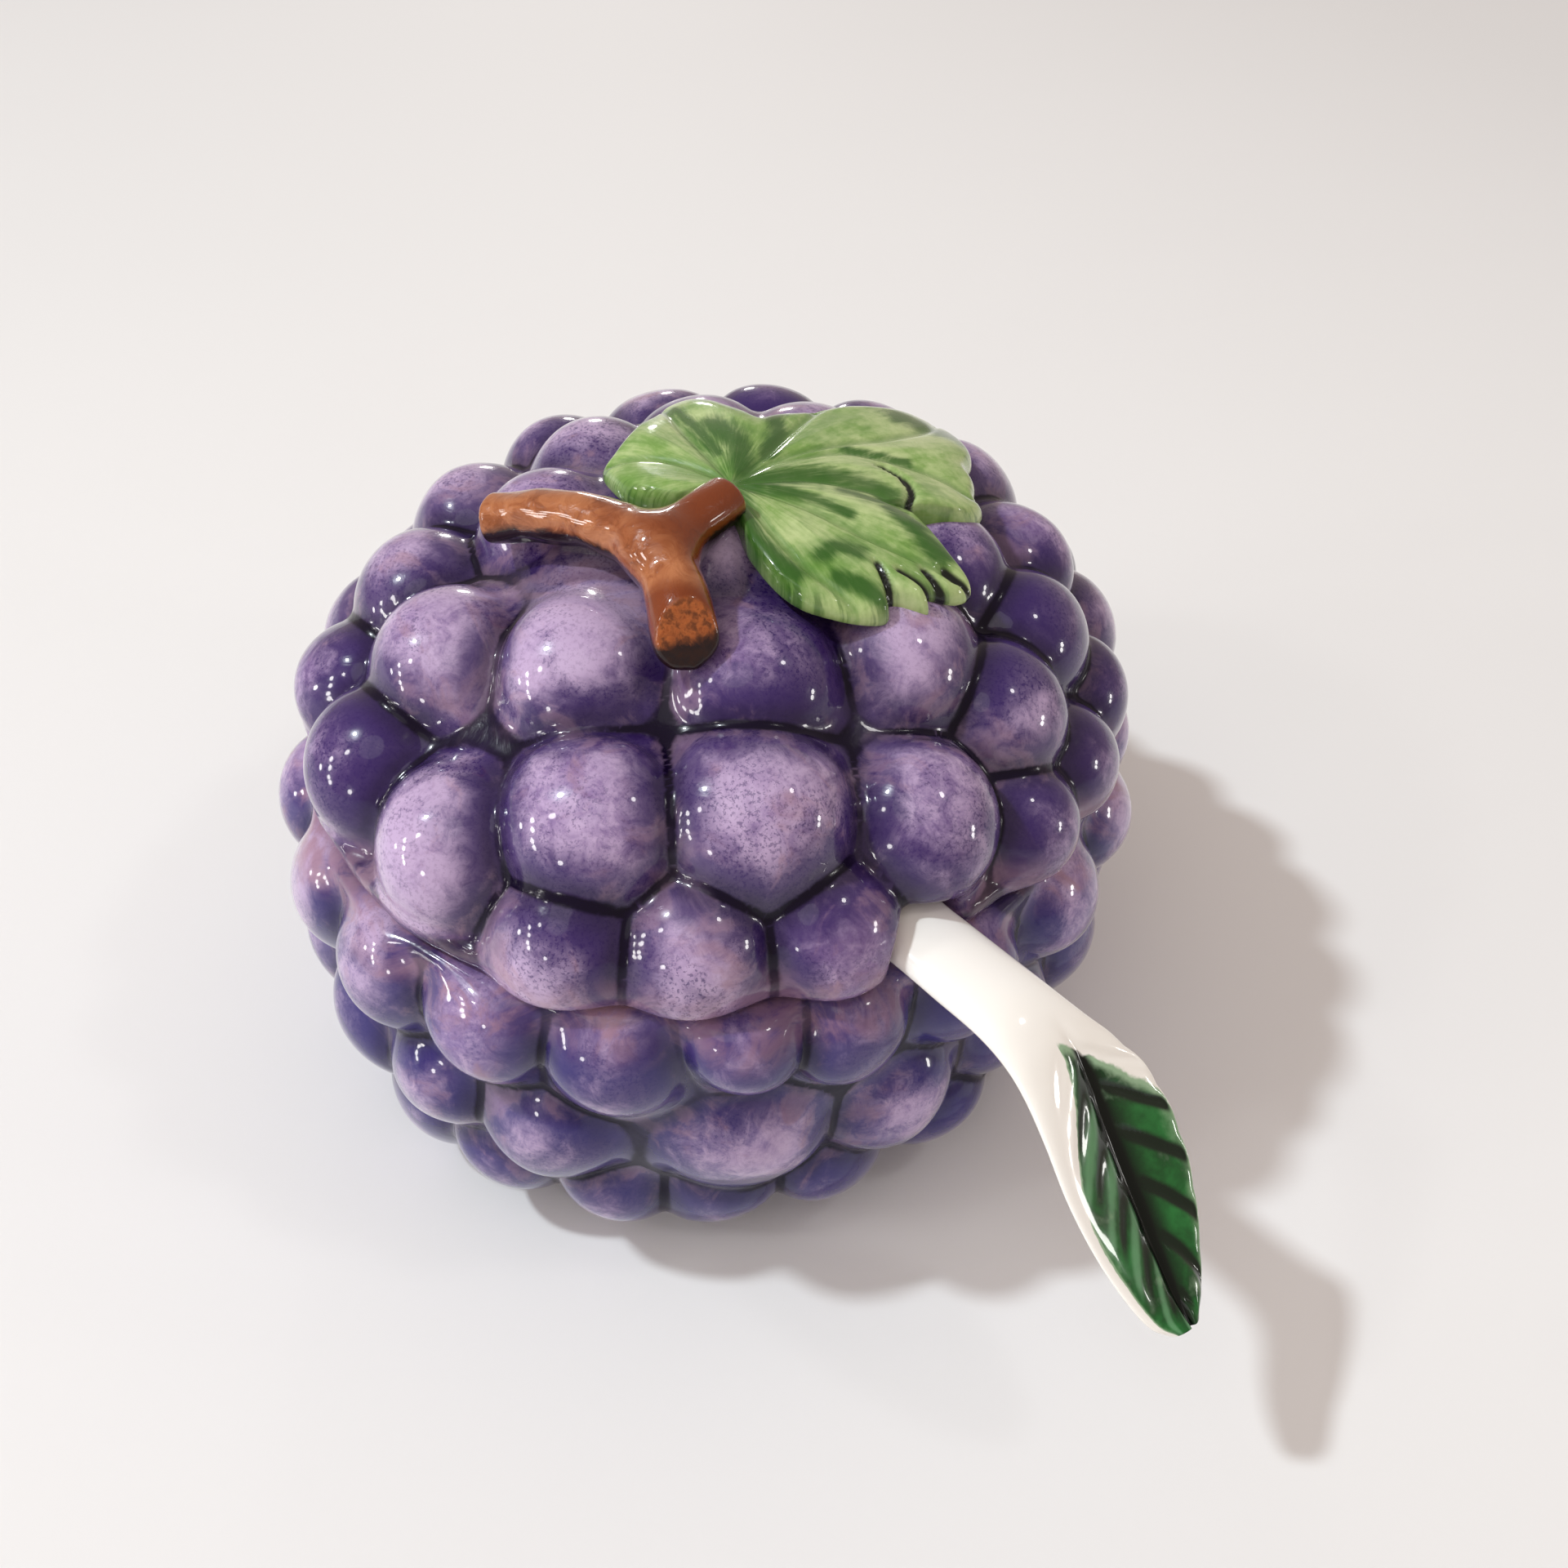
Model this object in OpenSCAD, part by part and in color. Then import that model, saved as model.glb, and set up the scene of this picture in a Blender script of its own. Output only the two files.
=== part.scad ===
// A glazed earthenware jam pot in the form of a bunch of grapes: pot, lid with a vine leaf
// and a forked twig as its grip, and a spoon whose handle leaves through a notch in the lid.
// Z is up, the foot's centre is the origin and the pot's long way runs front to back along Y.

/* [Pot] */
// Length of the pot over its grapes, front to back
pot_l = 126; // [108:1:145]
// Width of the pot over its grapes, side to side
pot_w = 111; // [96:1:126]
// Height of the pot from the table to its rim
pot_h = 49; // [44:1:60]
// Mean radius of the flat foot
foot_r = 35; // [30:1:38]
// Thickness of the cast wall
wall = 4; // [3:0.5:5]
// Thickness of the floor
floor_t = 4.5; // [3.5:0.5:6]

/* [Grapes] */
// Diameter of a full-sized grape
grape_d = 19.5; // [18:0.5:21.5]
// Height that the grapes stand out of the wall
relief = 6; // [5:0.5:7]

/* [Lid] */
// How far the pot's grapes stand out beyond the lid's
lid_step = 3; // [1:0.5:4]
// Height of the lid over its grapes, from its seat to its crown
lid_h = 35; // [31:1:44]
// Height of the lowest row's middle over the lid's seat
row_lift = 3.5; // [2:0.5:5]
// Height of the plain edge below the lid's lowest grapes
skirt_h = 3; // [2:0.5:4]
// Depth of the flange that keeps the lid in the mouth
flange_depth = 4.5; // [3:0.5:7]
// Thickness of that flange
flange_t = 3; // [2.5:0.5:4]

/* [Vine leaf and twig] */
// Length of the vine leaf from its stalk to its longest tip
leaf_l = 40; // [32:1:44]
// Thickness of the vine leaf
leaf_t = 2.6; // [2:0.2:4]
// Thickness of the twig at its fork
twig_d = 7; // [6:0.5:8.5]

/* [Spoon] */
// Reach of the handle outside the rim
handle_reach = 44; // [38:1:52]
// Drop of the handle's leaf below the rim
handle_drop = 25; // [18:1:29]
// Width of the plain part of the handle
handle_w = 10.5; // [9:0.5:12]
// Thickness of the plain part of the handle
handle_t = 5; // [4:0.5:6]
// Width of the leaf at the handle's end
spoon_leaf_w = 18; // [14:1:22]
// Width of the bowl of the spoon
bowl_w = 25; // [20:1:30]
// Depth of the hollow of the bowl
bowl_depth = 6; // [5:0.5:8]
// Thickness of the bowl and of the leaf
blade_t = 3; // [2.5:0.25:3.5]

/* [Fits] */
// Gap between the lid's seat and the rim
seat_gap = 0.3; // [0.2:0.1:0.6]
// Gap all round the flange in the mouth
mouth_gap = 1.2; // [0.8:0.1:2]
// Gap round the handle in the lid's notch
notch_gap = 1; // [0.6:0.1:1.6]
// Gap between the handle and the rim that it crosses
rest_gap = 0.3; // [0.2:0.1:0.6]

/* [Hidden] */
// Mean radius over the grapes, which the oval shares out between length and width
mean_r = (pot_l + pot_w) / 4;
oval = [pot_w / 2 / mean_r, pot_l / 2 / mean_r, 1];
grape_r = grape_d / 2;
seat_z = pot_h + seat_gap;
over = 1;
wall_fn = 48;
berry_fn = 12;
band_count = 6;
// How full the pot's side, its cavity and the lid's dome are: 2 is an ellipse, more is squarer
side_power = 2.9;
cavity_power = 4;
dome_power = 1.8;

// Grapes of the pot: way round in degrees, height as a share of the rim's, size as a share
pot_grape_shares = [
  [5, 0.84, 0.97], [22, 0.82, 1.00], [38, 0.89, 0.79], [52, 0.85, 0.85], [69, 0.82, 0.96],
  [88, 0.82, 1.00], [106, 0.82, 0.98], [124, 0.82, 1.00], [143, 0.82, 1.02],
  [162, 0.82, 1.02], [182, 0.82, 1.02], [202, 0.82, 1.02], [221, 0.82, 1.02],
  [239, 0.82, 1.00], [257, 0.82, 0.98], [275, 0.82, 1.00], [293, 0.82, 1.00],
  [311, 0.82, 1.02], [329, 0.82, 1.02], [347, 0.82, 1.00],
  [355, 0.54, 1.00], [12, 0.52, 1.15], [38, 0.52, 1.34], [60, 0.49, 1.16], [80, 0.50, 1.10],
  [98, 0.50, 1.08], [116, 0.50, 1.10], [135, 0.50, 1.14], [155, 0.50, 1.16],
  [175, 0.50, 1.16], [195, 0.50, 1.16], [214, 0.50, 1.14], [232, 0.50, 1.10],
  [249, 0.50, 1.08], [267, 0.50, 1.10], [285, 0.50, 1.12], [303, 0.50, 1.14],
  [321, 0.50, 1.14], [339, 0.50, 1.14],
  [3, 0.28, 0.98], [20, 0.27, 1.00], [35, 0.27, 1.00], [52, 0.27, 1.03], [72, 0.27, 1.04],
  [92, 0.27, 1.04], [112, 0.27, 1.04], [132, 0.27, 1.06], [152, 0.27, 1.08],
  [172, 0.27, 1.08], [192, 0.27, 1.08], [212, 0.27, 1.06], [232, 0.27, 1.04],
  [252, 0.27, 1.04], [272, 0.27, 1.04], [291, 0.27, 1.06], [310, 0.27, 1.06],
  [329, 0.27, 1.06], [347, 0.27, 1.02]];

// Grapes of the lid: way round in degrees, distance from the crown as a share, size as a share
lid_grape_shares = [
  [14, 1.00, 0.95], [32, 1.00, 0.97], [50, 1.00, 0.97], [84, 1.00, 0.90], [99, 1.00, 0.92],
  [115, 1.00, 0.95], [132, 1.00, 0.95], [149, 1.00, 0.98], [167, 1.00, 0.98],
  [185, 1.00, 1.00], [204, 1.00, 0.98], [222, 1.00, 0.98], [240, 1.00, 0.98],
  [257, 1.00, 0.95], [273, 1.00, 0.95], [290, 1.00, 0.98], [309, 0.98, 0.98],
  [330, 0.97, 1.02], [353, 0.97, 1.04],
  [14, 0.87, 1.12], [41, 0.85, 1.22], [67, 0.94, 1.05], [91, 0.86, 0.95], [111, 0.84, 0.98],
  [132, 0.82, 1.02], [156, 0.80, 1.08], [181, 0.80, 1.08], [205, 0.80, 1.05],
  [229, 0.80, 1.05], [252, 0.80, 1.02], [276, 0.81, 1.02], [300, 0.83, 1.08],
  [326, 0.76, 1.14],
  [357, 0.56, 1.10], [44, 0.54, 1.06], [82, 0.62, 1.10], [116, 0.58, 1.10],
  [150, 0.52, 1.15], [186, 0.50, 1.15], [222, 0.50, 1.10], [258, 0.54, 1.10],
  [293, 0.48, 1.10], [25, 0.16, 1.05], [150, 0.18, 1.20], [270, 0.16, 1.10]];

// Outline of the vine leaf: degrees round its stalk from its front tip, reach as a share of leaf_l
leaf_outline_shares = [
  [-118, 0.13], [-60, 0.12], [-46, 0.27], [-39, 0.40], [-33, 0.48], [-25, 0.54], [-18, 0.59],
  [-12, 0.62], [-7, 0.59], [-2, 0.68], [2, 0.65], [7, 0.73], [12, 0.75], [17, 0.68],
  [25, 0.60], [31, 0.56], [34, 0.50], [36, 0.62], [38, 0.73], [43, 0.80], [48, 0.80],
  [53, 0.83], [58, 0.84], [63, 0.92], [70, 0.97], [77, 1.00], [83, 0.94], [89, 0.80],
  [96, 0.64], [104, 0.51], [110, 0.44], [118, 0.47], [124, 0.51], [130, 0.57], [136, 0.61],
  [143, 0.60], [150, 0.54], [158, 0.50], [168, 0.46], [178, 0.44], [188, 0.43], [197, 0.38],
  [207, 0.33], [218, 0.27], [230, 0.20]];
// Rings of the leaf from its stalk to its edge, and the stalk's place, as shares
leaf_ring_shares = [0.3, 0.65, 1];
leaf_root_share = [0.05, -0.06];
// How closely the leaf follows the dome, and how much of its thickness stands over the crown
leaf_drape_share = 0.72;
leaf_rise_share = 0.6;

// Arms of the twig from its fork: degrees, length and end thickness as shares of twig_d
twig_arm_shares = [[186, 3.5, 0.86], [-53, 1.75, 1.05], [88, 1.3, 0.85]];
twig_arm_steps = [4, 2, 2];
fork_share = [0.07, -0.28];
twig_rise_share = 0.3;

// Spoon inside the rim, from the bowl's tip: inward and downward shares, then how far the
// section has widened to the bowl, how far it has thinned to the blade, and its dish
spoon_in_shares = [
  [1.00, 0.90, -0.45, 1.0, 0.10], [0.97, 0.93, 0.35, 1.0, 0.45], [0.90, 0.975, 0.80, 1.0, 0.85],
  [0.80, 1.00, 1.00, 1.0, 1.00], [0.69, 0.98, 0.86, 1.0, 0.85], [0.60, 0.91, 0.42, 0.9, 0.35],
  [0.52, 0.78, 0.05, 0.4, 0.05], [0.38, 0.46, -0.05, 0.1, 0.00], [0.26, 0.18, 0.00, 0.0, 0.00],
  [0.15, 0.01, 0.00, 0.0, 0.00]];
// Spoon outside the rim, from the rim out: reach and drop shares, then the same three, and how
// far it sways to the side as a share of the leaf's width
spoon_out_shares = [
  [0.00, 0.00, 0.00, 0.0, 0.00, 0.00], [0.15, 0.00, 0.02, 0.0, 0.00, 0.00],
  [0.30, 0.02, 0.06, 0.1, 0.00, 0.02], [0.40, 0.08, 0.22, 0.3, 0.06, 0.06],
  [0.48, 0.17, 0.50, 0.5, 0.16, 0.11], [0.57, 0.30, 0.84, 0.7, 0.30, 0.15],
  [0.68, 0.48, 1.00, 0.9, 0.40, 0.14], [0.79, 0.66, 0.80, 1.0, 0.36, 0.10],
  [0.89, 0.82, 0.30, 1.0, 0.24, 0.04], [0.96, 0.94, -0.25, 0.9, 0.10, 0.00],
  [1.00, 1.00, -0.85, 0.8, 0.00, -0.02]];
spoon_steps = 2;
spoon_sides = 14;
// Level length of the spoon inside the rim as a share of the mouth's radius
spoon_inner_share = 1.24;
// Where the handle crosses the rim and which way it points, in degrees from the front
spoon_angle = 62;
handle_angle = 72;

lid_r = mean_r - lid_step;
core_r = lid_r - relief;
core_h = lid_h - relief;
mouth_r = core_r - wall;
rim_band = wall;
rim_r = lid_r - relief / 2;
flange_r = mouth_r - mouth_gap;
leaf_root = mean_r * leaf_root_share;
fork_place = mean_r * fork_share;
handle_mid = rest_gap + handle_t / 2;
notch_w = handle_w + 2 * notch_gap;
notch_h = rest_gap + handle_t + notch_gap - seat_gap;
spoon_inner = mouth_r * spoon_inner_share;
spoon_sink = pot_h + handle_mid - floor_t - bowl_depth - blade_t / 2 - 2 * rest_gap;

// Height share of a curve that falls from 1 to 0 as its reach share grows
function bowed(share, power) = pow(max(0, 1 - pow(min(1, share), power)), 1 / power);
// Radius over the pot's grapes at a height
function body_r(z) = foot_r + (mean_r - foot_r) * bowed(1 - z / pot_h, side_power);
// A place on the oval, at a radius and a way round from the front
function on_oval(way, r) = [r * oval.x * sin(way), -r * oval.y * cos(way)];
// Height over the seat of the lid's grapes, at a place in plan
function dome_at(p) =
  lid_h * bowed(norm([p.x / oval.x, p.y / oval.y]) / lid_r, dome_power);
function dome_outline(r, h) = [
  for (i = [0:band_count]) let (t = 90 * i / band_count)
    [r * pow(sin(t), 2 / dome_power), h * pow(cos(t), 2 / dome_power)]];

// A quantity at u of the way between keys k and k + 1, on a smooth curve through all keys
function key(keys, k) = keys[max(0, min(len(keys) - 1, k))];
function between(keys, k, u) =
  let (a = key(keys, k - 1), b = key(keys, k), c = key(keys, k + 1), d = key(keys, k + 2))
    b + (c - a) * u / 2 + (a - 2.5 * b + 2 * c - d / 2) * u * u
      + (1.5 * (b - c) + (d - a) / 2) * u * u * u;

module in_plan(way, r) {
  p = on_oval(way, r);
  translate([p.x, p.y, 0]) children();
}

// A grape that points up along Z, with the stub that joins it to the wall behind
module grape(size) {
  hull() {
    sphere(d = size * grape_d, $fn = berry_fn);
    translate([0, 0, -size * grape_r / 2]) sphere(d = size * grape_d * 0.8, $fn = berry_fn);
  }
}

module pot_grapes() {
  for (g = pot_grape_shares) {
    z = g[1] * pot_h;
    lean = 90 * bowed(z / pot_h, side_power) - 60;
    in_plan(g[0], body_r(z) - g[2] * grape_r) translate([0, 0, z])
      rotate([0, 90 + max(0, lean), g[0] - 90]) grape(g[2]);
  }
}

module lid_grapes() {
  for (g = lid_grape_shares) {
    r = g[2] * grape_r;
    up = bowed(g[1], dome_power);
    lean = atan2(pow(g[1], dome_power - 1) / lid_r, pow(up, dome_power - 1) / lid_h);
    in_plan(g[0], (lid_r - r) * g[1]) translate([0, 0, row_lift + (lid_h - r - row_lift) * up])
      rotate([0, lean, g[0] - 90]) grape(g[2]);
  }
}

// Slab that cuts a form off flat below its own base plane
module below() {
  translate([-pot_l, -pot_l, -grape_d]) cube([2 * pot_l, 2 * pot_l, grape_d]);
}

// Slab that cuts the top row of grapes off level with the rim
module above_rim() {
  translate([-pot_l, -pot_l, pot_h]) cube([2 * pot_l, 2 * pot_l, grape_d]);
}

// The cast body behind the grapes, with the plain band of the rim
module pot_core() {
  sides = [
    for (i = [0:band_count]) let (z = (pot_h - 2 * rim_band) * pow(i / band_count, 2))
      [max(foot_r, body_r(z) - relief), z]];
  scale(oval) rotate_extrude($fn = wall_fn)
    polygon(concat([[0, 0]], sides,
      [[rim_r, pot_h - rim_band], [rim_r, pot_h], [0, pot_h]]));
}

module pot_cavity() {
  depth = pot_h - floor_t;
  sides = [
    for (i = [0:band_count]) let (t = 90 * i / band_count)
      [mouth_r * pow(sin(t), 2 / cavity_power), pot_h - depth * pow(cos(t), 2 / cavity_power)]];
  scale(oval) rotate_extrude($fn = wall_fn)
    polygon(concat(sides, [[mouth_r, pot_h + over], [0, pot_h + over]]));
}

module pot() {
  color("#5a5480") difference() {
    union() {
      pot_core();
      pot_grapes();
    }
    below();
    above_rim();
    pot_cavity();
  }
}

// The lid's outer form, filled, standing on its seat plane
module lid_form() {
  difference() {
    union() {
      scale(oval) rotate_extrude($fn = wall_fn)
        polygon(concat([[0, 0]], dome_outline(core_r, core_h)));
      scale(oval) cylinder(r = rim_r, h = skirt_h, $fn = wall_fn);
      lid_grapes();
    }
    below();
  }
}

module flange() {
  scale(oval) translate([0, 0, -flange_depth]) cylinder(r = flange_r, h = flange_depth + wall,
    $fn = wall_fn);
}

module lid_hollow() {
  scale(oval) {
    translate([0, 0, wall]) rotate_extrude($fn = wall_fn)
      polygon(concat([[0, 0]], dome_outline(mouth_r, core_h - 2 * wall)));
    translate([0, 0, -flange_depth - over])
      cylinder(r = flange_r - flange_t, h = flange_depth + wall + 2 * over, $fn = wall_fn);
  }
}

// Moves a form from the rim's crossing, with X outward along the spoon, to its place
module at_rim() {
  in_plan(spoon_angle, mean_r - relief) rotate([0, 0, handle_angle - 90]) children();
}

// Arched opening in the lid's edge and flange, open downward, that the handle passes through
module notch() {
  foot = flange_depth + over;
  at_rim() rotate([90, 0, 90]) translate([0, 0, -grape_d])
    linear_extrude(height = 2 * grape_d) {
      translate([-notch_w / 2, -foot]) square([notch_w, foot + notch_h - notch_w / 4]);
      translate([0, notch_h - notch_w / 4]) scale([1, 0.5]) circle(d = notch_w, $fn = berry_fn);
    }
}

module lid() {
  color("#8c80a4") translate([0, 0, seat_z]) difference() {
    union() {
      lid_form();
      flange();
    }
    lid_hollow();
    notch();
  }
}

// Leaf blank: a lobed sheet draped towards the dome, before it is pressed onto the grapes
module leaf_blank() {
  edge = leaf_outline_shares;
  n = len(edge);
  rings = leaf_ring_shares;
  plan = concat([leaf_root],
    [for (ring = rings) for (e = edge) leaf_root + ring * e[1] * leaf_l * [cos(e[0]), sin(e[0])]]);
  top = [
    for (p = plan)
      lid_h + leaf_rise_share * leaf_t - leaf_drape_share * (lid_h - dome_at(p))];
  count = len(plan);
  points = [
    for (side = [0, 1]) for (i = [0:count - 1]) [plan[i].x, plan[i].y, top[i] - side * leaf_t]];
  faces = concat(
    [for (i = [0:n - 1]) [0, 1 + (i + 1) % n, 1 + i]],
    [for (i = [0:n - 1]) [count, count + 1 + i, count + 1 + (i + 1) % n]],
    [
      for (k = [0:len(rings) - 2]) for (i = [0:n - 1])
        let (a = 1 + k * n + i, b = 1 + k * n + (i + 1) % n)
          each [[a, b, b + n], [a, b + n, a + n],
            [count + a, count + b + n, count + b], [count + a, count + a + n, count + b + n]]],
    [
      for (i = [0:n - 1])
        let (a = count - n + i, b = count - n + (i + 1) % n)
          each [[a, b, b + count], [a, b + count, a + count]]]);
  polyhedron(points = points, faces = faces);
}

module vine_leaf() {
  color("#8fae6a") translate([0, 0, seat_z]) difference() {
    leaf_blank();
    lid_form();
  }
}

// Twig blank: three arms from one fork, laid over the crown, with flat cut ends
module twig_blank() {
  for (k = [0:len(twig_arm_shares) - 1]) {
    arm = twig_arm_shares[k];
    way = [cos(arm[0]), sin(arm[0])];
    steps = twig_arm_steps[k];
    for (i = [0:steps - 1]) hull() {
      for (j = [i, i + 1]) {
        share = j / steps;
        p = fork_place + share * arm[1] * twig_d * way;
        size = twig_d * (1 + share * (arm[2] - 1));
        translate([p.x, p.y, dome_at(p) + twig_rise_share * twig_d])
          if (j == steps) rotate([90, 0, arm[0] + 90]) cylinder(d = size, h = size / 4, $fn = berry_fn);
          else sphere(d = size, $fn = berry_fn);
      }
    }
  }
}

module twig() {
  color("#9a5a35") translate([0, 0, seat_z]) difference() {
    twig_blank();
    lid_form();
    leaf_blank();
  }
}

// Stations of the spoon from the bowl's tip to the leaf's: outward, up, half width, thickness,
// dish and sway
spoon_keys = concat(
  [
    for (s = spoon_in_shares)
      [-s[0] * spoon_inner, handle_mid - s[1] * spoon_sink,
        (handle_w + s[2] * (bowl_w - handle_w)) / 2, handle_t + s[3] * (blade_t - handle_t),
        s[4] * bowl_depth, 0]],
  [
    for (s = spoon_out_shares)
      [s[0] * handle_reach, handle_mid - s[1] * handle_drop,
        (handle_w + s[2] * (spoon_leaf_w - handle_w)) / 2,
        handle_t + s[3] * (blade_t - handle_t), s[4] * bowl_depth, s[5] * spoon_leaf_w]]);

module spoon() {
  stations = concat(
    [
      for (k = [0:len(spoon_keys) - 2]) for (i = [0:spoon_steps - 1])
        between(spoon_keys, k, i / spoon_steps)],
    [spoon_keys[len(spoon_keys) - 1]]);
  last = len(stations) - 1;
  n = spoon_sides;
  points = [
    for (k = [0:last])
      let (
        s = stations[k],
        ahead = key(stations, k + 1) - key(stations, k - 1),
        normal = [-ahead[1], ahead[0]] / norm([ahead[0], ahead[1]]))
        for (j = [0:n - 1])
          let (
            t = 360 * j / n,
            y = s[3] / 2 * sin(t) - s[4] * sin(t) * sin(t))
            [s[0] + normal.x * y, s[2] * cos(t) + s[5], s[1] + normal.y * y]];
  faces = concat(
    [[for (j = [0:n - 1]) j]],
    [[for (j = [0:n - 1]) last * n + n - 1 - j]],
    [
      for (k = [0:last - 1]) for (j = [0:n - 1])
        let (a = k * n + j, b = k * n + (j + 1) % n)
          each [[a, a + n, b + n], [a, b + n, b]]]);
  color("#f2ede0") translate([0, 0, pot_h]) at_rim() polyhedron(points = points, faces = faces);
}

pot();
lid();
vine_leaf();
twig();
spoon();
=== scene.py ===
import math
import bpy
import numpy as np
from mathutils import Matrix, Vector


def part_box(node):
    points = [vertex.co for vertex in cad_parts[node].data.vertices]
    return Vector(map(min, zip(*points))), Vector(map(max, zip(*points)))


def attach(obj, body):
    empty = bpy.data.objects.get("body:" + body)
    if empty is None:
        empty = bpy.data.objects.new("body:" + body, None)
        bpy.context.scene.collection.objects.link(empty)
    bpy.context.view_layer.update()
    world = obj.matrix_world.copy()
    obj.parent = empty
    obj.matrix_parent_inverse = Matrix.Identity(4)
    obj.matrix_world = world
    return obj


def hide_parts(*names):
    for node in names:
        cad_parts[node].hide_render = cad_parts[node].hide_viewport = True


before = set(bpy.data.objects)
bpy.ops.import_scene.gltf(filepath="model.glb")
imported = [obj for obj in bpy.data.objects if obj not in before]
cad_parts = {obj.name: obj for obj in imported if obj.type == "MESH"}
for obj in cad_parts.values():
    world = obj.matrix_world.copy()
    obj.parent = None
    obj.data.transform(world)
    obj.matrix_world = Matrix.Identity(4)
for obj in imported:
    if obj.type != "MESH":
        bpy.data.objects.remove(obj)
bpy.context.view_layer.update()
mm = 0.001


# The pot: an oval slip-cast earthenware body with three rows of grapes in relief, a plain band
# at the rim and a flat foot. It was cast in a plaster mould, brushed with violet and blue glaze
# that pooled in the grooves, and given clear glaze inside.
pot_l, pot_w, pot_h = 126 * mm, 111 * mm, 49 * mm
foot_r, wall, floor_t = 35 * mm, 4 * mm, 4.5 * mm
grape_d, relief = 19.5 * mm, 6 * mm
lid_step = 3 * mm
mean_r = (pot_l + pot_w) / 4
oval = np.array([pot_w / 2 / mean_r, pot_l / 2 / mean_r])
lid_r = mean_r - lid_step
core_r = lid_r - relief
mouth_r = core_r - wall
rim_r, rim_band = lid_r - relief / 2, wall
groove = 5.4 * mm
side_power, cavity_power = 2.9, 4
# Fillets between the grapes, where they meet the wall, and at the foot and the band
grape_fillet, wall_fillet, foot_fillet, band_fillet = 0.8 * mm, 1.6 * mm, 3 * mm, 2.5 * mm
# Roundings of the rim, the edge of the foot and the mouth
rim_round, foot_round, mouth_round = 1.6 * mm, 0.8 * mm, 1.8 * mm
unevenness = 0.16 * mm
# Width of the mesh's first cells, and a distance beyond any form
cell, far_away = 1.35 * mm, 1.0

# Way round in degrees, height as a share of the rim's, size as a share
pot_grape_shares = [
    (5, 0.84, 0.97), (22, 0.82, 1.00), (38, 0.89, 0.79), (52, 0.85, 0.85), (69, 0.82, 0.96),
    (88, 0.82, 1.00), (106, 0.82, 0.98), (124, 0.82, 1.00), (143, 0.82, 1.02), (162, 0.82, 1.02),
    (182, 0.82, 1.02), (202, 0.82, 1.02), (221, 0.82, 1.02), (239, 0.82, 1.00), (257, 0.82, 0.98),
    (275, 0.82, 1.00), (293, 0.82, 1.00), (311, 0.82, 1.02), (329, 0.82, 1.02), (347, 0.82, 1.00),
    (355, 0.54, 1.00), (12, 0.52, 1.15), (38, 0.52, 1.34), (60, 0.49, 1.16), (80, 0.50, 1.10),
    (98, 0.50, 1.08), (116, 0.50, 1.10), (135, 0.50, 1.14), (155, 0.50, 1.16), (175, 0.50, 1.16),
    (195, 0.50, 1.16), (214, 0.50, 1.14), (232, 0.50, 1.10), (249, 0.50, 1.08), (267, 0.50, 1.10),
    (285, 0.50, 1.12), (303, 0.50, 1.14), (321, 0.50, 1.14), (339, 0.50, 1.14), (3, 0.28, 0.98),
    (20, 0.27, 1.00), (35, 0.27, 1.00), (52, 0.27, 1.03), (72, 0.27, 1.04), (92, 0.27, 1.04),
    (112, 0.27, 1.04), (132, 0.27, 1.06), (152, 0.27, 1.08), (172, 0.27, 1.08), (192, 0.27, 1.08),
    (212, 0.27, 1.06), (232, 0.27, 1.04), (252, 0.27, 1.04), (272, 0.27, 1.04), (291, 0.27, 1.06),
    (310, 0.27, 1.06), (329, 0.27, 1.06), (347, 0.27, 1.02)]


def bowed(share, power):
    """Height share of a curve that falls from 1 to 0 as its reach share grows."""
    return max(0, 1 - min(1, share) ** power) ** (1 / power)


def on_oval(way, r):
    """A place on the oval, at a radius and a way round from the front."""
    turn = math.radians(way)
    return r * oval[0] * math.sin(turn), -r * oval[1] * math.cos(turn)


def off_oval(p):
    """Distance from the axis, with the oval drawn back to a circle."""
    return np.hypot(p[:, 0] / oval[0], p[:, 1] / oval[1])


def past(out, up, reach, rise, power):
    """How far points lie past a bowed wall, along the ray from its middle: below 0 inside it."""
    level = ((np.abs(out) / reach) ** power + (np.abs(up) / rise) ** power) ** (1 / power)
    return np.hypot(out, up) * (1 - 1 / np.maximum(level, 1e-6))


def join(a, b, soft):
    """Two forms run together, with a fillet where they meet."""
    near = np.clip(0.5 + 0.5 * (b - a) / soft, 0, 1)
    return b + (a - b) * near - soft * near * (1 - near)


def cut(a, b, soft):
    """Form a without form b, with its new edges rounded."""
    return -join(-a, b, soft)


def hand(p):
    """The slight unevenness of a form that was modelled by hand."""
    x, y, z = p.T / mm
    return unevenness * (np.sin(0.31 * x + 1.3 * np.sin(0.17 * y)) + np.sin(0.27 * y - 0.23 * z)
                         + np.sin(0.43 * z + 0.35 * x - 0.4))


def pot_grapes():
    """Middle and radius of each of the pot's grapes."""
    for way, height, size in pot_grape_shares:
        z, r = height * pot_h, size * grape_d / 2
        reach = foot_r + (mean_r - foot_r) * bowed(1 - z / pot_h, side_power) - r
        yield np.array([*on_oval(way, reach), z]), r


def bunch(p, grapes, fillet):
    """The grapes run together: how far each point lies outside them."""
    field = np.full(len(p), far_away)
    for middle, r in grapes:
        field = join(field, np.linalg.norm(p - middle, axis=1) - r, fillet)
    return field


def pot_cavity(p):
    """How far points lie outside the room for the jam."""
    return past(off_oval(p), np.maximum(pot_h - p[:, 2], 0), mouth_r, pot_h - floor_t,
                cavity_power)


def pot_side(p):
    """How far points lie outside the bowed side that the grapes' tops reach."""
    return past(np.maximum(off_oval(p) - foot_r, 0), pot_h - p[:, 2], mean_r - foot_r, pot_h,
                side_power)


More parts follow.
